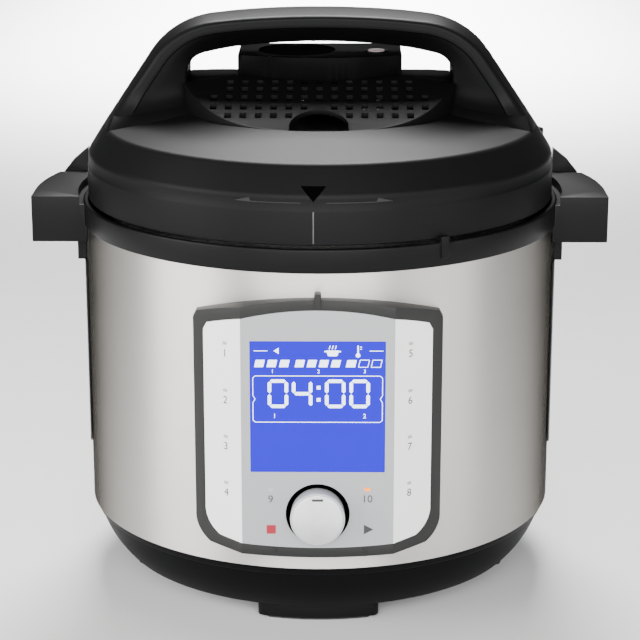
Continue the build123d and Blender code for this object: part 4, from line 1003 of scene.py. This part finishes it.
# ------------------------------------------------------------------ housing
@dataclass
class Housing:
    """Base, feet, steel wrap and top ring."""

    lip_radius: float = 135.8
    lip_top: float = 49.0
    band_top: float = 42.0
    wall: float = 3.0
    ring_edge: float = 0.5
    foot_edge: float = 0.8

    def base(self) -> None:
        """Turns the black bowl under the steel wrap."""
        belly = arc_through((133.6, 37.0), (127.4, 22.6), (119.8, 12.7), 14)
        hem = [(118.9, 11.85), (117.6, 11.5)]
        underside = [(104.0, 11.5), (104.0, 13.0), (98.0, 13.0), (98.0, 14.5), (117.6, 14.5)]
        inner = arc_through((117.6, 14.5), (124.4, 22.6), (132.8, 37.6), 10)[1:]
        profile = [
            (self.lip_radius - self.wall, self.lip_top),
            (self.lip_radius, self.lip_top),
            (self.lip_radius, self.band_top),
            (136.2, self.band_top),
            (136.5, self.band_top - 0.35),
            (134.9, 37.9),
            (134.5, 37.5),
            (133.9, 37.25),
            *belly,
            *hem,
            *underside,
            *inner,
        ]
        bowl = Workpiece.turned("base_bowl", profile, steps=160)
        bowl.deliver("base", PALETTE.bowl, "black_plastic", ("base_shell",), smooth=25.0)

    def feet(self) -> None:
        """Rounds the edges of the feet and of their rubber pads."""
        Workpiece.copy_of("feet", "foot_blocks").soften(self.foot_edge).deliver(
            "base", PALETTE.textured, "black_plastic", ("feet",)
        )
        Workpiece.copy_of("foot_pads", "rubber_pads").soften(0.3).deliver(
            "base", PALETTE.rubber, "foot_rubber", ("foot_pads",)
        )

    def ring(self) -> None:
        """Rounds the edges of the ring that the lid turns in."""
        Workpiece.copy_of("top_ring", "lid_ring").soften(self.ring_edge).deliver(
            "base", PALETTE.satin, "black_plastic", ("top_ring",)
        )

    def build(self) -> None:
        """Builds the housing."""
        self.base()
        self.feet()
        self.ring()
        dress(PALETTE.wrap, "steel_wrap")
        dress(PALETTE.textured, "bottom_cover", "board_standoffs")
        dress(PALETTE.bright, "bottom_screws")


# ------------------------------------------------------------------ lid
@dataclass
class LidBody:
    """Lid with its skirt, cone, platform, lifting fin and marks."""

    radius: float = 135.0
    low: float = 224.0
    step: float = 0.6
    step_z: float = 243.0
    shoulder_z: float = 250.0
    platform_radius: float = 124.72
    rib_half: float = 0.35
    rib_end: float = 133.6
    platform_z: float = 265.3
    pitch: float = 11.6
    hub_radius: float = 80.5
    recess_z: float = 270.68
    floor_z: float = 267.5
    fin_angle: float = 27.0
    fin_low: float = 241.5
    fin_high: float = 249.5
    fin_half: float = 7.0
    fin_reach: float = 150.0
    corners: tuple[Point, Point, Point] = ((-6.8, 255.2), (6.8, 255.2), (0.0, 247.4))
    mark_angle: float = -1.0
    arrow_span: tuple[float, float, float] = (2.9, 14.3, 18.0)

    def outside(self, inset: float) -> list[Point]:
        """Outline of the lid's outer skin, from the rim to the edge of the hub.

        Args:
            inset: Distance that the outline lies inside the skin.

        Returns:
            The outline's points.
        """
        upper = self.radius - self.step
        shoulder = rounded(
            [
                (upper, self.step_z + 0.5, 0),
                (upper, self.shoulder_z, 6.0),
                (self.platform_radius, self.platform_z, 4.5),
                (self.hub_radius, self.top_at(self.hub_radius), 0),
            ],
            count=13,
            closed=False,
        )
        rim = [
            (self.radius - 0.5, self.low),
            (self.radius, self.low + 0.5),
            (self.radius, self.step_z - 1.0),
            (self.radius - 0.12, self.step_z - 0.5),
        ]
        return [(r - inset, z - inset * (z > self.shoulder_z)) for r, z in rim + shoulder]

    def top_at(self, radius: float) -> float:
        """Height of the platform at a distance from the lid's middle."""
        return self.platform_z + (self.platform_radius - radius) * tan(radians(self.pitch))

    def skin(self) -> Workpiece:
        """Turns the lid and cuts the two holes in its middle."""
        edge = self.top_at(self.hub_radius)
        seat = [
            (self.hub_radius - 0.5, edge - 0.5), (self.hub_radius - 0.5, self.recess_z),
            (0.0, self.recess_z)
        ]
        inner = [(0.0, self.floor_z), (83.0, self.floor_z), (122.3, 262.2), (131.6, 248.6), (131.6, self.low)]
        lid = Workpiece.turned("lid_body", self.outside(0.0) + seat + inner, steps=192)
        for x, y, radius in ((-13.5, 12.0, 6.6), (32.5, 6.0, 8.6)):
            lid.cut(Workpiece.rod("hole", radius, Vector((x, y, self.floor_z - 2)), 8.0))
        return lid

    def fin(self) -> Workpiece:
        """Makes the small fin that props the lid up in a handle."""
        outline = [
            (-self.fin_half, 120.0),
            (self.fin_half, 120.0),
            (self.fin_half, self.fin_reach - 0.4),
            (-self.fin_half, self.fin_reach - 0.4),
        ]
        fin = Workpiece.prism("fin", [(y, -x) for x, y in outline], Axis.UP, self.fin_low, self.fin_high)
        return fin.soften(1.2, segments=3).turn(self.fin_angle)

    def core(self, inset: float) -> Workpiece:
        """Solid that lies a distance inside the lid's outer skin."""
        outline = self.outside(inset)
        return Workpiece.turned("core", [(0.0, outline[0][1]), *outline, (0.0, outline[-1][1])], steps=192)

    def triangle(self, inset: float) -> Workpiece:
        """Triangle over the shoulder, from a distance inside the skin outwards.

        Args:
            inset: The distance.

        Returns:
            The piece.
        """
        tool = Workpiece.prism("triangle", list(self.corners), Axis.FRONT, -140.0, -120.0)
        return tool.turn(self.mark_angle).cut(self.core(inset))

    def inlay(self) -> None:
        """Lays the index triangle in its recess, in near-black without reflection: painted shade at the bottom of the
        recess.
        """
        piece = self.triangle(1.1).trim(self.core(0.55))
        piece.piece.name = "index_triangle"
        piece.deliver("lid", PALETTE.well, "black_plastic")

    def arrows(self) -> None:
        """Lays the two turning arrows on either side of the triangle."""
        radius = self.radius - self.step + 0.1
        line = [(radius, -0.2), (radius - 0.6, -0.2), (radius - 0.6, 0.2), (radius, 0.2)]
        first, last, tip = self.arrow_span
        shaft = Workpiece.turned("lid_arrows", line, steps=24, sweep=last - first).turn(last - 90)
        bpy.ops.object.mode_set(mode="EDIT")
        bpy.ops.mesh.select_all(action="SELECT")
        bpy.ops.mesh.fill_holes(sides=0)
        shaft.tidy()
        length = radius * radians(tip - last)
        outline = [(0.0, -0.2), (length, 0.2), (0.8, 2.2), (0.0, 0.2)]
        head = Workpiece.prism("head", outline, Axis.FRONT, -radius, 0.6 - radius).turn(last)
        shaft.gather([head]).move(Vector((0.0, 0.0, self.shoulder_z - 3.2)))
        shaft.gather([shaft.mirrored()]).turn(self.mark_angle)
        shaft.deliver("lid", PALETTE.emboss, "black_plastic")

    def rib(self) -> None:
        """Makes the fine index rib under the triangle, coloured pale grey: a painted highlight along its edge."""
        rib = Workpiece.prism(
            "index_rib",
            [
                (-self.rib_half, -self.radius - 0.25), (self.rib_half, -self.radius - 0.25),
                (self.rib_half, -self.rib_end), (-self.rib_half, -self.rib_end),
            ],
            Axis.UP, self.low + 1.0, self.step_z - 0.8,
        )
        rib.soften(0.15).turn(self.mark_angle).deliver("lid", PALETTE.arrow, "black_plastic")

    def build(self) -> None:
        """Builds the lid's body."""
        lid = self.skin().fuse(self.fin()).cut(self.triangle(1.1))
        lid.deliver("lid", PALETTE.textured, "black_plastic", ("lid_shell",), smooth=28.0)
        self.inlay()
        self.arrows()
        self.rib()


@dataclass
class ArchHandle:
    """Arched handle: a frame and the cap over it."""

    half_width: float = 22.0
    foot: Point = (124.7, 265.3)
    knee: Point = (97.37, 306.0)
    shoulder: tuple[float, float, float] = (57.53, 279.23, 48.0)
    crown: tuple[float, float] = (-258.3, 588.6)
    shoulder_start: float = 33.9
    shoulder_end: float = 83.89
    cap_low: float = 272.5
    cap_thickness: float = 8.0
    gap: float = 0.25
    opening: tuple[float, float, float] = (77.6, 273.2, 295.1)
    corner: tuple[float, float, float] = (65.6, 12.0, 79.74)
    sag: tuple[float, float] = (-67.4, 380.4)
    steps: int = 10
    flare: float = 12.0
    flare_height: float = 19.0
    pitch: float = 11.6
    crowning: float = 1.7
    narrowing: float = 0.5

    def curve(self, inset: float) -> list[Point]:
        """Right half of the handle's outer curve, from its lower end to the crown.

        Args:
            inset: Distance that the curve lies inside the outer one.

        Returns:
            The curve's points.
        """
        along = Vector((self.knee[0] - self.foot[0], self.knee[1] - self.foot[1])).normalized()
        inward = Vector((-along.y, along.x))
        start = Vector(self.foot) + inward * inset
        first = start + along * ((self.cap_low - start.y) / along.y)
        last = Vector(self.knee) + inward * inset
        line = [tuple(first.lerp(last, step / 7)) for step in range(7)]
        cx, cz, radius = self.shoulder
        bend = arc((cx, cz), radius - inset, self.shoulder_start, self.shoulder_end, 13)
        crown = arc((0.0, self.crown[0]), self.crown[1] - inset, self.shoulder_end, 90.0, 12)[1:]
        return line + bend + crown

    @staticmethod
    def whole(half: list[Point]) -> list[Point]:
        """Both halves of a curve whose right half is given."""
        return half + [(-x, z) for x, z in reversed(half[:-1])]

    def band(self, name: str, outer: list[Point], inner: list[Point]) -> Workpiece:
        """Bridges two curves of as many points and gives the band its width.

        Args:
            name: Name of the piece.
            outer: Outer curve.
            inner: Inner curve.

        Returns:
            The piece.
        """
        near = -self.half_width
        band = Workpiece.wire(name, [Vector((x, near, z)) for x, z in outer])
        bpy.ops.object.mode_set(mode="OBJECT")
        second = Workpiece.wire("inner", [Vector((x, near, z)) for x, z in inner])
        bpy.ops.object.mode_set(mode="OBJECT")
        band.gather([second])
        bpy.ops.object.mode_set(mode="EDIT")
        bpy.ops.mesh.select_all(action="SELECT")
        bpy.ops.mesh.bridge_edge_loops(number_cuts=2, interpolation="LINEAR")
        bpy.ops.mesh.select_all(action="SELECT")
        for _ in range(self.steps):
            shift = Vector((0.0, 2 * self.half_width / self.steps, 0.0))
            bpy.ops.mesh.extrude_region_move(TRANSFORM_OT_translate={"value": shift})
        return band.tidy()

    def depth(self, x: float, z: float) -> tuple[float, Vector]:
        """How far a point lies inside the outer curve, and the way out.

        Args:
            x: Distance of the point from the middle.
            z: Its height.

        Returns:
            The depth and the outward direction, in the plane of the curve.
        """
        cx, cz, radius = self.shoulder
        angle = degrees(atan2(z - cz, x - cx))
        if x < cx or angle > self.shoulder_end:
            way = Vector((x, z - self.crown[0]))
            return self.crown[1] - way.length, way.normalized()
        if angle > self.shoulder_start:
            way = Vector((x - cx, z - cz))
            return radius - way.length, way.normalized()
        along = (Vector(self.knee) - Vector(self.foot)).normalized()
        way = Vector((along.y, -along.x))
        return (Vector(self.foot) - Vector((x, z))).dot(way), way

    def crowned(self, co: Vector) -> Vector:
        """Place of a point of the cap once its top is rounded across."""
        depth, way = self.depth(abs(co.x), co.z)
        fade = min(1.0, max(0.0, (co.z - self.cap_low) / 20.0))
        share = max(0.0, 1.0 - depth / self.cap_thickness)
        drop = self.crowning * (co.y / self.half_width) ** 2 * share * fade
        return Vector((co.x - drop * way.x * (1 if co.x >= 0 else -1), co.y, co.z - drop * way.y))

    def drawn_in(self, co: Vector) -> Vector:
        """Place of a point of the frame once it narrows towards the opening."""
        depth, _ = self.depth(abs(co.x), co.z)
        share = min(1.0, max(0.0, (depth - self.cap_thickness - self.gap) / 9.0))
        ease = min(1.0, max(0.0, (88.0 - abs(co.x)) / 35.0))
        return Vector((co.x, co.y * (1.0 - self.narrowing * share * ease), co.z))

    def settle(self, co: Vector) -> Vector:
        """Place of a point once the legs follow the lid's round form and flare at the feet.

        Args:
            co: Where the point was.

        Returns:
            Where it goes.
        """
        reach = abs(co.x)
        above = co.z - self.foot[1] - (self.foot[0] - reach) * tan(radians(self.pitch))
        spread = max(0.0, 1.0 - max(0.0, above) / self.flare_height) ** 3
        y = co.y * (1.0 + self.flare * spread / self.half_width)
        ease = min(1.0, max(0.0, (reach - 40.0) / 30.0))
        ease = ease * ease * (3 - 2 * ease)
        x = reach - ease * y * y / (2 * max(reach, 40.0))
        return Vector((x if co.x >= 0 else -x, y, co.z))

    def edges_on(self, curve: list[Point]) -> Callable:
        """Test that passes the points of a curve on the handle's two sides.

        Args:
            curve: The curve.

        Returns:
            The test.
        """
        known = {(round(x, 1), round(z, 1)) for x, z in curve}

        def test(co: Vector) -> bool:
            """Whether a vertex lies on the curve, on either side."""
            return abs(abs(co.y) - self.half_width) < 0.01 and (round(co.x, 1), round(co.z, 1)) in known

        return test

    def build(self) -> None:
        """Builds the frame and the cap."""
        outer = self.whole(self.curve(0.0))
        inner = self.whole(self.curve(self.cap_thickness))
        cap = self.band("handle_cap_shell", outer, inner)
        cap.bevel_where(self.edges_on(outer), 6.2, 7).bevel_where(self.edges_on(inner), 0.5, 2)
        cap.reshape(self.crowned).reshape(self.settle)
        cap.deliver("lid", PALETTE.textured, "black_plastic", ("handle_cap",), smooth=40.0)

        shell = self.curve(self.cap_thickness + self.gap)
        knee_x = self.foot[0] - (self.cap_low - 0.25 - self.foot[1]) * 27.33 / 40.7
        foot = [(124.6, 263.6), self.foot, (knee_x, self.cap_low - 0.25)]
        shell[0] = (shell[0][0], self.cap_low - 0.25)
        x, low, high = self.opening
        leg = [(x, low + (high - low) * step / 9) for step in range(10)]
        cx, radius, turn = self.corner
        bend = arc((cx, high), radius, 0.0, turn, 11)[1:]
        sag = arc((0.0, self.sag[0]), self.sag[1], turn, 90.0, len(foot) + len(shell) - 19)[1:]
        inner = self.whole(leg + bend + sag)
        outer = self.whole(foot + shell)
        body = self.band("handle_frame_shell", outer, inner)
        body.bevel_where(self.edges_on(inner), 2.2, 4).bevel_where(self.edges_on(outer), 0.45, 2)
        body.reshape(self.drawn_in).reshape(self.settle)
        body.deliver("lid", PALETTE.bowl, "black_plastic", ("handle_frame",), smooth=40.0)


@dataclass
class VentHub:
    """Steam diffuser, valve block, release button and float."""

    button: tuple[float, float, float] = (-13.5, 12.0, 22.0)
    button_low: float = 298.9
    button_high: float = 303.9
    pin: tuple[float, float, float] = (32.5, 6.0, 5.0)

    def block(self) -> None:
        """Rounds the valve block and the slotted diffuser."""
        Workpiece.copy_of("valve_housing", "valve_block").soften(0.7, segments=3).deliver(
            "lid", PALETTE.block, "gloss_black", ("valve_housing",)
        )
        Workpiece.copy_of("diffuser_cover", "steam_diffuser").soften(0.16).deliver(
            "diffuser", PALETTE.bowl, "black_plastic", ("diffuser_cover",)
        )

    def release(self) -> None:
        """Turns the round release button with its shallow dish, in near-black without reflection: painted shade under
        the arch.
        """
        x, y, radius = self.button
        rim = rounded(
            [
                (0.0, self.button_low, 0),
                (radius - 0.3, self.button_low, 0.5),
                (radius - 0.3, self.button_high, 1.2),
                (radius - 3.0, self.button_high, 1.0),
            ],
            closed=False,
        )
        dish = arc_through((radius - 3.6, self.button_high - 0.15), (10.0, 302.6), (0.0, 302.1), 12)
        button = Workpiece.turned("release_key", rim + dish, steps=96).move(Vector((x, y, 0.0)))
        button.deliver("release_button", PALETTE.well, "black_plastic", ("release_button",))

    def collar(self) -> None:
        """Turns the thin collar round the float pin."""
        x, y, radius = self.pin
        outline = rounded(
            [(radius + 0.5, 304.0, 0.1), (radius + 2.2, 304.0, 0.1), (radius + 2.2, 305.4, 0.4), (radius + 0.5, 305.4, 0.4)]
        )
        collar = Workpiece.turned("float_collar", outline, steps=64).move(Vector((x, y, 0.0)))
        collar.deliver("lid", PALETTE.gloss, "gloss_black")

    def build(self) -> None:
        """Builds the hub."""
        self.block()
        self.release()
        self.collar()
        dress(PALETTE.pin, "float_pin")
        dress(PALETTE.bright, "valve_weight", "button_spring", "lid_screws")
        dress(PALETTE.silicone, "float_seal", "float_guide", "sealing_ring")
        dress(PALETTE.steel, "steam_pipe", "pipe_shield", "lid_plate", "seal_rack")


# ------------------------------------------------------------------ control panel
@dataclass
class Display:
    """Lit content of the blue screen, in the front plane."""

    face: float = -143.0
    proud: float = 0.06
    digit_top: float = 153.0
    digit_low: float = 137.0
    digit_width: float = 10.9
    stroke: float = 1.9

    def bar(self, name: str, corners: list[Point]) -> Workpiece:
        """Thin printed shape on the screen.

        Args:
            name: Name of the shape.
            corners: Its outline.

        Returns:
            The piece.
        """
        return Workpiece.prism(name, corners, Axis.FRONT, self.face - self.proud, self.face + 0.3)

    def segment(self, start: Point, end: Point) -> Workpiece:
        """One pointed segment of a digit.

        Args:
            start: One end.
            end: The other end.

        Returns:
            The piece.
        """
        a, b = Vector(start), Vector(end)
        along = (b - a).normalized()
        side = Vector((-along.y, along.x)) * (self.stroke / 2)
        a, b = a + along * 0.25, b - along * 0.25
        tip = along * (self.stroke / 2)
        return self.bar(
            "segment",
            [tuple(p) for p in (a, a + tip + side, b - tip + side, b, b - tip - side, a + tip - side)]
        )

    def digit(self, left: float, lit: str) -> list[Workpiece]:
        """One seven-segment digit.

        Args:
            left: Its left edge.
            lit: Letters of its lit segments.

        Returns:
            The segments.
        """
        inset = self.stroke / 2
        x0, x1 = left + inset, left + self.digit_width - inset
        z0, z1 = self.digit_low + inset, self.digit_top - inset
        middle = (z0 + z1) / 2
        lines = {
            "a": ((x0, z1), (x1, z1)),
            "b": ((x1, middle), (x1, z1)),
            "c": ((x1, z0), (x1, middle)),
            "d": ((x0, z0), (x1, z0)),
            "e": ((x0, z0), (x0, middle)),
            "f": ((x0, middle), (x0, z1)),
            "g": ((x0, middle), (x1, middle)),
        }
        return [self.segment(*lines[letter]) for letter in lit]

    def time(self) -> list[Workpiece]:
        """Digits and colon of the time."""
        pieces: list[Workpiece] = []
        for left, lit in ((-26.6, "abcdef"), (-13.7, "bcfg"), (3.9, "abcdef"), (16.9, "abcdef")):
            pieces += self.digit(left, lit)
        for z in (148.4, 141.6):
            pieces.append(self.bar("dot", [(-0.5, z - 1.0), (1.5, z - 1.0), (1.5, z + 1.0), (-0.5, z + 1.0)]))
        return pieces

    def bars(self) -> list[Workpiece]:
        """Slanted progress bars above the time."""
        pieces: list[Workpiece] = []
        for start, end, count in ((-33.7, -13.9, 3), (-12.2, 13.3, 4), (14.9, 35.1, 3)):
            width = (end - start) / count
            for index in range(count):
                left, right = start + index * width, start + (index + 1) * width - 0.9
                shape = [(left, 159.8), (right - 0.9, 159.8), (right, 163.8), (left + 0.9, 163.8)]
                if start > 14 and index > 0:
                    pieces += self.hollow(shape)
                else:
                    pieces.append(self.bar("progress", shape))
        return pieces

    def hollow(self, shape: list[Point]) -> list[Workpiece]:
        """Outline of a shape, drawn with thin lines."""
        return [self.line(shape[index - 1], shape[index], 0.35) for index in range(len(shape))]

    def line(self, start: Point, end: Point, width: float) -> Workpiece:
        """Thin straight line.

        Args:
            start: One end.
            end: The other end.
            width: Its width.

        Returns:
            The piece.
        """
        a, b = Vector(start), Vector(end)
        side = Vector((-(b - a).normalized().y, (b - a).normalized().x)) * (width / 2)
        return self.bar("line", [tuple(p) for p in (a - side, b - side, b + side, a + side)])

    def rules(self) -> list[Workpiece]:
        """Frame round the time and rules beside the symbols."""
        left, right, low, high, radius = -34.5, 34.5, 129.0, 154.9, 1.2
        gap_low, gap_high = 140.0, 144.0
        pieces = [
            self.line((left + radius, high), (right - radius, high), 0.35),
            self.line((left + radius, low), (right - radius, low), 0.35),
        ]
        for x, inward in ((left, 1), (right, -1)):
            pieces.append(self.line((x, low + radius), (x, gap_low), 0.35))
            pieces.append(self.line((x, gap_high), (x, high - radius), 0.35))
            pieces.append(self.line((x, low + radius), (x + inward * radius, low), 0.35))
            pieces.append(self.line((x, high - radius), (x + inward * radius, high), 0.35))
            pieces.append(self.line((x, gap_low), (x + inward * 1.2, (gap_low + gap_high) / 2), 0.35))
            pieces.append(self.line((x + inward * 1.2, (gap_low + gap_high) / 2), (x, gap_high), 0.35))
        pieces.append(self.line((-33.9, 168.8), (-26.6, 168.8), 0.35))
        pieces.append(self.line((27.5, 168.8), (34.8, 168.8), 0.35))
        return pieces

    def symbols(self) -> list[Workpiece]:
        """Arrow, pot and thermometer in the top row."""
        pot = rounded([(4.7, 169.1, 0.2), (5.4, 165.9, 1.0), (10.5, 165.9, 1.0), (11.2, 169.1, 0.2)])
        pieces = [
            self.bar("arrow", [(-23.4, 168.8), (-20.6, 170.5), (-20.6, 167.1)]),
            self.bar("pot", pot),
            self.line((3.6, 168.5), (5.0, 168.5), 0.7),
            self.line((10.9, 168.5), (12.3, 168.5), 0.7),
            self.line((21.4, 166.9), (21.4, 171.8), 0.8),
            self.bar("bulb", arc((21.4, 166.4), 1.2, 0, 330, 12)),
            self.line((22.4, 171.0), (23.4, 171.0), 0.4),
            self.line((22.4, 169.8), (23.4, 169.8), 0.4),
        ]
        for x in (6.4, 8.0, 9.6):
            pieces.append(self.line((x - 0.3, 169.8), (x + 0.3, 171.8), 0.45))
        return pieces

    def labels(self) -> list[Workpiece]:
        """Plain numbers where the screen shows its modes and levels."""
        pieces = []
        for body, x, z in (
            ("1", -24.0, 157.4), ("2", 0.5, 157.4), ("3", 25.0, 157.4), ("1", -23.0, 132.4),
            ("2", 25.0, 132.4)
        ):
            piece = Workpiece.lettered("number", body, 2.9 if z > 140 else 3.6, 0.3 + self.proud)
            pieces.append(piece.move(Vector((x, self.face + 0.15 - self.proud / 2, z))))
        return pieces

    def build(self) -> None:
        """Builds everything that the screen shows."""
        bright = self.time()
        first = bright[0].gather(bright[1:])
        first.piece.name = "display_time"
        first.deliver("base", PALETTE.lit, "display_glass")
        rest = self.bars() + self.symbols() + self.rules() + self.labels()
        second = rest[0].gather(rest[1:])
        second.piece.name = "display_symbols"
        second.deliver("base", PALETTE.lit, "display_glass")
        dress(PALETTE.display, "display_window", "display_module")


@dataclass
class ControlPanel:
    """Bezel, printed film, key marks and dial."""

    face: float = -143.0
    fold: float = 41.0
    bend: float = 34.0
    column: float = 49.5
    print_depth: float = 0.08
    lamp_rows: tuple[float, ...] = (171.3, 145.0, 118.9, 92.5)
    number_drop: float = 5.6
    dial_z: float = 76.5
    bump_low: float = 54.6
    bump_high: float = 57.2
    bump_front: float = -143.7
    bump_back: float = -142.0
    dial_radius: float = 14.8
    dial_back: float = 141.0
    dial_front: float = 151.4

    @property
    def dial_centre(self) -> Vector:
        """Step that brings a piece turned about the origin onto the axis of the dial."""
        return Vector((0.0, 0.0, self.dial_z))

    def bezel(self) -> None:
        """Rounds the bezel's edges and sets the film in it."""
        bezel = Workpiece.copy_of("panel_bezel", "bezel_frame").soften(1.1, segments=3)
        tab = Workpiece.prism(
            "tab", rounded([(-1.8, 192.6, 0.6), (1.8, 192.6, 0.6), (1.8, 200.0, 1.2), (-1.8, 200.0, 1.2)]),
            Axis.FRONT, -144.6, -137.4,
        )
        bezel.gather([tab.soften(0.4, segments=3)])
        for x in (-23.3, 25.6):
            foot, top = self.bump_low, self.bump_high
            outline = [(x - 1.0, foot), (x + 1.0, foot), (x + 0.5, top), (x - 0.5, top)]
            bump = Workpiece.prism("bump", outline, Axis.FRONT, self.bump_front, self.bump_back)
            bezel.gather([bump.soften(0.2)])
        bezel.deliver("base", PALETTE.bezel, "gloss_black", ("panel_bezel",))
        dress(PALETTE.film, "panel_overlay")

    def place_mark(self, mark: Workpiece, x: float, z: float) -> Workpiece:
        """Lays a mark made in the front plane on the film, on its flat or on a fold.

        Args:
            mark: The mark, centred on the origin.
            x: Distance to the right of the panel's middle.
            z: Height.

        Returns:
            The mark.
        """
        if abs(x) <= self.fold:
            return mark.move(Vector((x, self.face, z)))
        side = 1 if x > 0 else -1
        back = (abs(x) - self.fold) * tan(radians(self.bend))
        return mark.turn(side * self.bend).move(Vector((x, self.face + back, z)))

    def pill(self, width: float, height: float) -> Workpiece:
        """Small rounded mark centred on the origin.

        Args:
            width: Its width.
            height: Its height.

        Returns:
            The mark.
        """
        half, tall = width / 2, height / 2
        outline = rounded([(-half, -tall, 0.5), (half, -tall, 0.5), (half, tall, 0.5), (-half, tall, 0.5)])
        return Workpiece.prism("lamp", outline, Axis.FRONT, -self.print_depth, 0.25)

    def keys(self) -> None:
        """Lamps and numbers of the eight mode keys and the two lower keys."""
        spots = [(side * self.column, row) for side in (-1, 1) for row in self.lamp_rows]
        spots += [(-25.4, 90.5)]
        lamps = [self.place_mark(self.pill(2.8, 1.7), x, z) for x, z in spots]
        first = lamps[0].gather(lamps[1:])
        first.piece.name = "key_lamps"
        first.deliver("base", PALETTE.pale_ink, "panel_film")
        self.place_mark(self.pill(3.4, 1.9), 26.7, 90.8).deliver("base", PALETTE.amber, "panel_film")
        numbers = []
        for index, (x, z) in enumerate(spots + [(26.7, 90.8)]):
            number = Workpiece.lettered("number", str(index + 1), 6.0, 0.25 + self.print_depth)
            numbers.append(
                self.place_mark(number.move(Vector((0.0, 0.125 - self.print_depth / 2, 0.0))), x, z - self.number_drop)
            )
        first = numbers[0].gather(numbers[1:])
        first.piece.name = "key_numbers"
        first.deliver("base", PALETTE.dark_ink, "panel_film")

    def symbols(self) -> None:
        """Stop and start symbols beside the dial."""
        stop = self.pill(5.0, 5.0)
        self.place_mark(stop, -25.2, 67.6).deliver("base", PALETTE.red_ink, "panel_film")
        start = Workpiece.prism(
            "start_mark", [(-2.2, -2.8), (2.9, 0.0), (-2.2, 2.8)], Axis.FRONT, -self.print_depth,
            0.25
        )
        self.place_mark(start, 27.2, 67.7).deliver("base", PALETTE.dark_ink, "panel_film")

    def well(self) -> None:
        """Turns the cup that the dial stands in, in near-black without reflection: painted shade in the gap round the
        dial.
        """
        outline = [(3.6, 139.2), (17.2, 139.2), (17.2, 142.4), (16.5, 142.4), (16.5, 139.8), (3.6, 139.8)]
        cup = Workpiece.turned("dial_well", outline, Axis.FRONT, steps=96).move(self.dial_centre)
        cup.deliver("base", PALETTE.well, "gloss_black")

    def dial(self) -> None:
        """Turns the dial, its spun face and its index bar."""
        radius, back, front = self.dial_radius, self.dial_back, self.dial_front
        side = rounded(
            [
                (0.0, back, 0), (radius - 0.4, back, 0.5), (radius, front, 0.7),
                (13.9, front, 0.2), (13.9, 151.1, 0.2), (0.0, 151.1, 0),
            ],
            closed=False,
        )
        Workpiece.turned("dial_body", side, Axis.FRONT, steps=120).move(self.dial_centre).deliver(
            "dial", PALETTE.dial_side, "dial_grey", ("control_dial",)
        )
        face = rounded(
            [(0.0, 151.1, 0), (13.75, 151.1, 0), (13.75, 151.75, 0.35), (0.0, 151.85, 0)],
            closed=False
        )
        Workpiece.turned("dial_face", face, Axis.FRONT, steps=120).move(self.dial_centre).deliver(
            "dial", PALETTE.spun((0.0, 0.0, self.dial_z * MM)), "dial_metal", ("dial_cap",)
        )
        bar = rounded([(-3.0, 10.6, 0.3), (3.0, 10.6, 0.3), (3.0, 11.9, 0.3), (-3.0, 11.9, 0.3)])
        index = Workpiece.prism("dial_index", bar, Axis.FRONT, -151.97, -151.5).move(self.dial_centre)
        index.deliver("dial", PALETTE.dark_ink, "dial_grey")

    def build(self) -> None:
        """Builds the panel."""
        self.bezel()
        self.keys()
        self.symbols()
        self.well()
        self.dial()
        dress(PALETTE.steel, "dial_shaft")
        dress(PALETTE.ivory, "encoder_body", "encoder_rotor")
        dress(PALETTE.textured, "display_spacers")
        dress(PALETTE.board, "control_board")


# ------------------------------------------------------------------ handles, rear fittings and insides
@dataclass
class SideHandles:
    """Two grips at the sides."""

    edge: float = 2.0

    def build(self) -> None:
        """Rounds the grips' edges."""
        for side in ("left", "right"):
            node = f"side_handle_{side}"
            Workpiece.copy_of(node, f"grip_{side}").soften(self.edge, segments=3).deliver(
                "base", PALETTE.satin, "black_plastic", (node,)
            )
        dress(PALETTE.bright, "handle_screws")


@dataclass
class RearFittings:
    """Condensation cup, its rails and the power inlet."""

    edge: float = 0.6

    def build(self) -> None:
        """Rounds the rear pieces' edges."""
        Workpiece.copy_of("condensation_cup", "drip_cup").soften(self.edge, segments=3).deliver(
            "cup", PALETTE.cup, "clear_cup", ("condensation_cup",)
        )
        Workpiece.copy_of("cup_bracket", "cup_rails").soften(self.edge).deliver(
            "base", PALETTE.textured, "black_plastic", ("cup_bracket",)
        )
        Workpiece.copy_of("power_inlet", "inlet_socket").soften(self.edge).deliver(
            "base", PALETTE.textured, "black_plastic", ("power_inlet",)
        )
        dress(PALETTE.bright, "inlet_pins")


@dataclass
class Insides:
    """Everything that shows once the lid and the pot are lifted, and what lies under the base."""

    def build(self) -> None:
        """Dresses the inner pieces."""
        dress(PALETTE.steel, "inner_pot", "outer_vessel")
        dress(PALETTE.cast, "heating_plate", "temperature_sensor")
        dress(PALETTE.bright, "heater_posts", "heater_terminals", "sensor_spring")
        dress(PALETTE.ivory, "sensor_holder")
        dress(PALETTE.board, "power_board")
        dress(PALETTE.relay, "power_relay")


def main() -> None:
    """Builds the cooker piece by piece."""
    logging.basicConfig(level=logging.INFO, format="%(name)s %(message)s")
    for part in (
        Studio(),
        Housing(),
        LidBody(),
        ArchHandle(),
        VentHub(),
        Display(),
        ControlPanel(),
        SideHandles(),
        RearFittings(),
        Insides(),
    ):
        LOG.info("building %s", type(part).__name__)
        part.build()


if __name__ == "__main__":
    main()
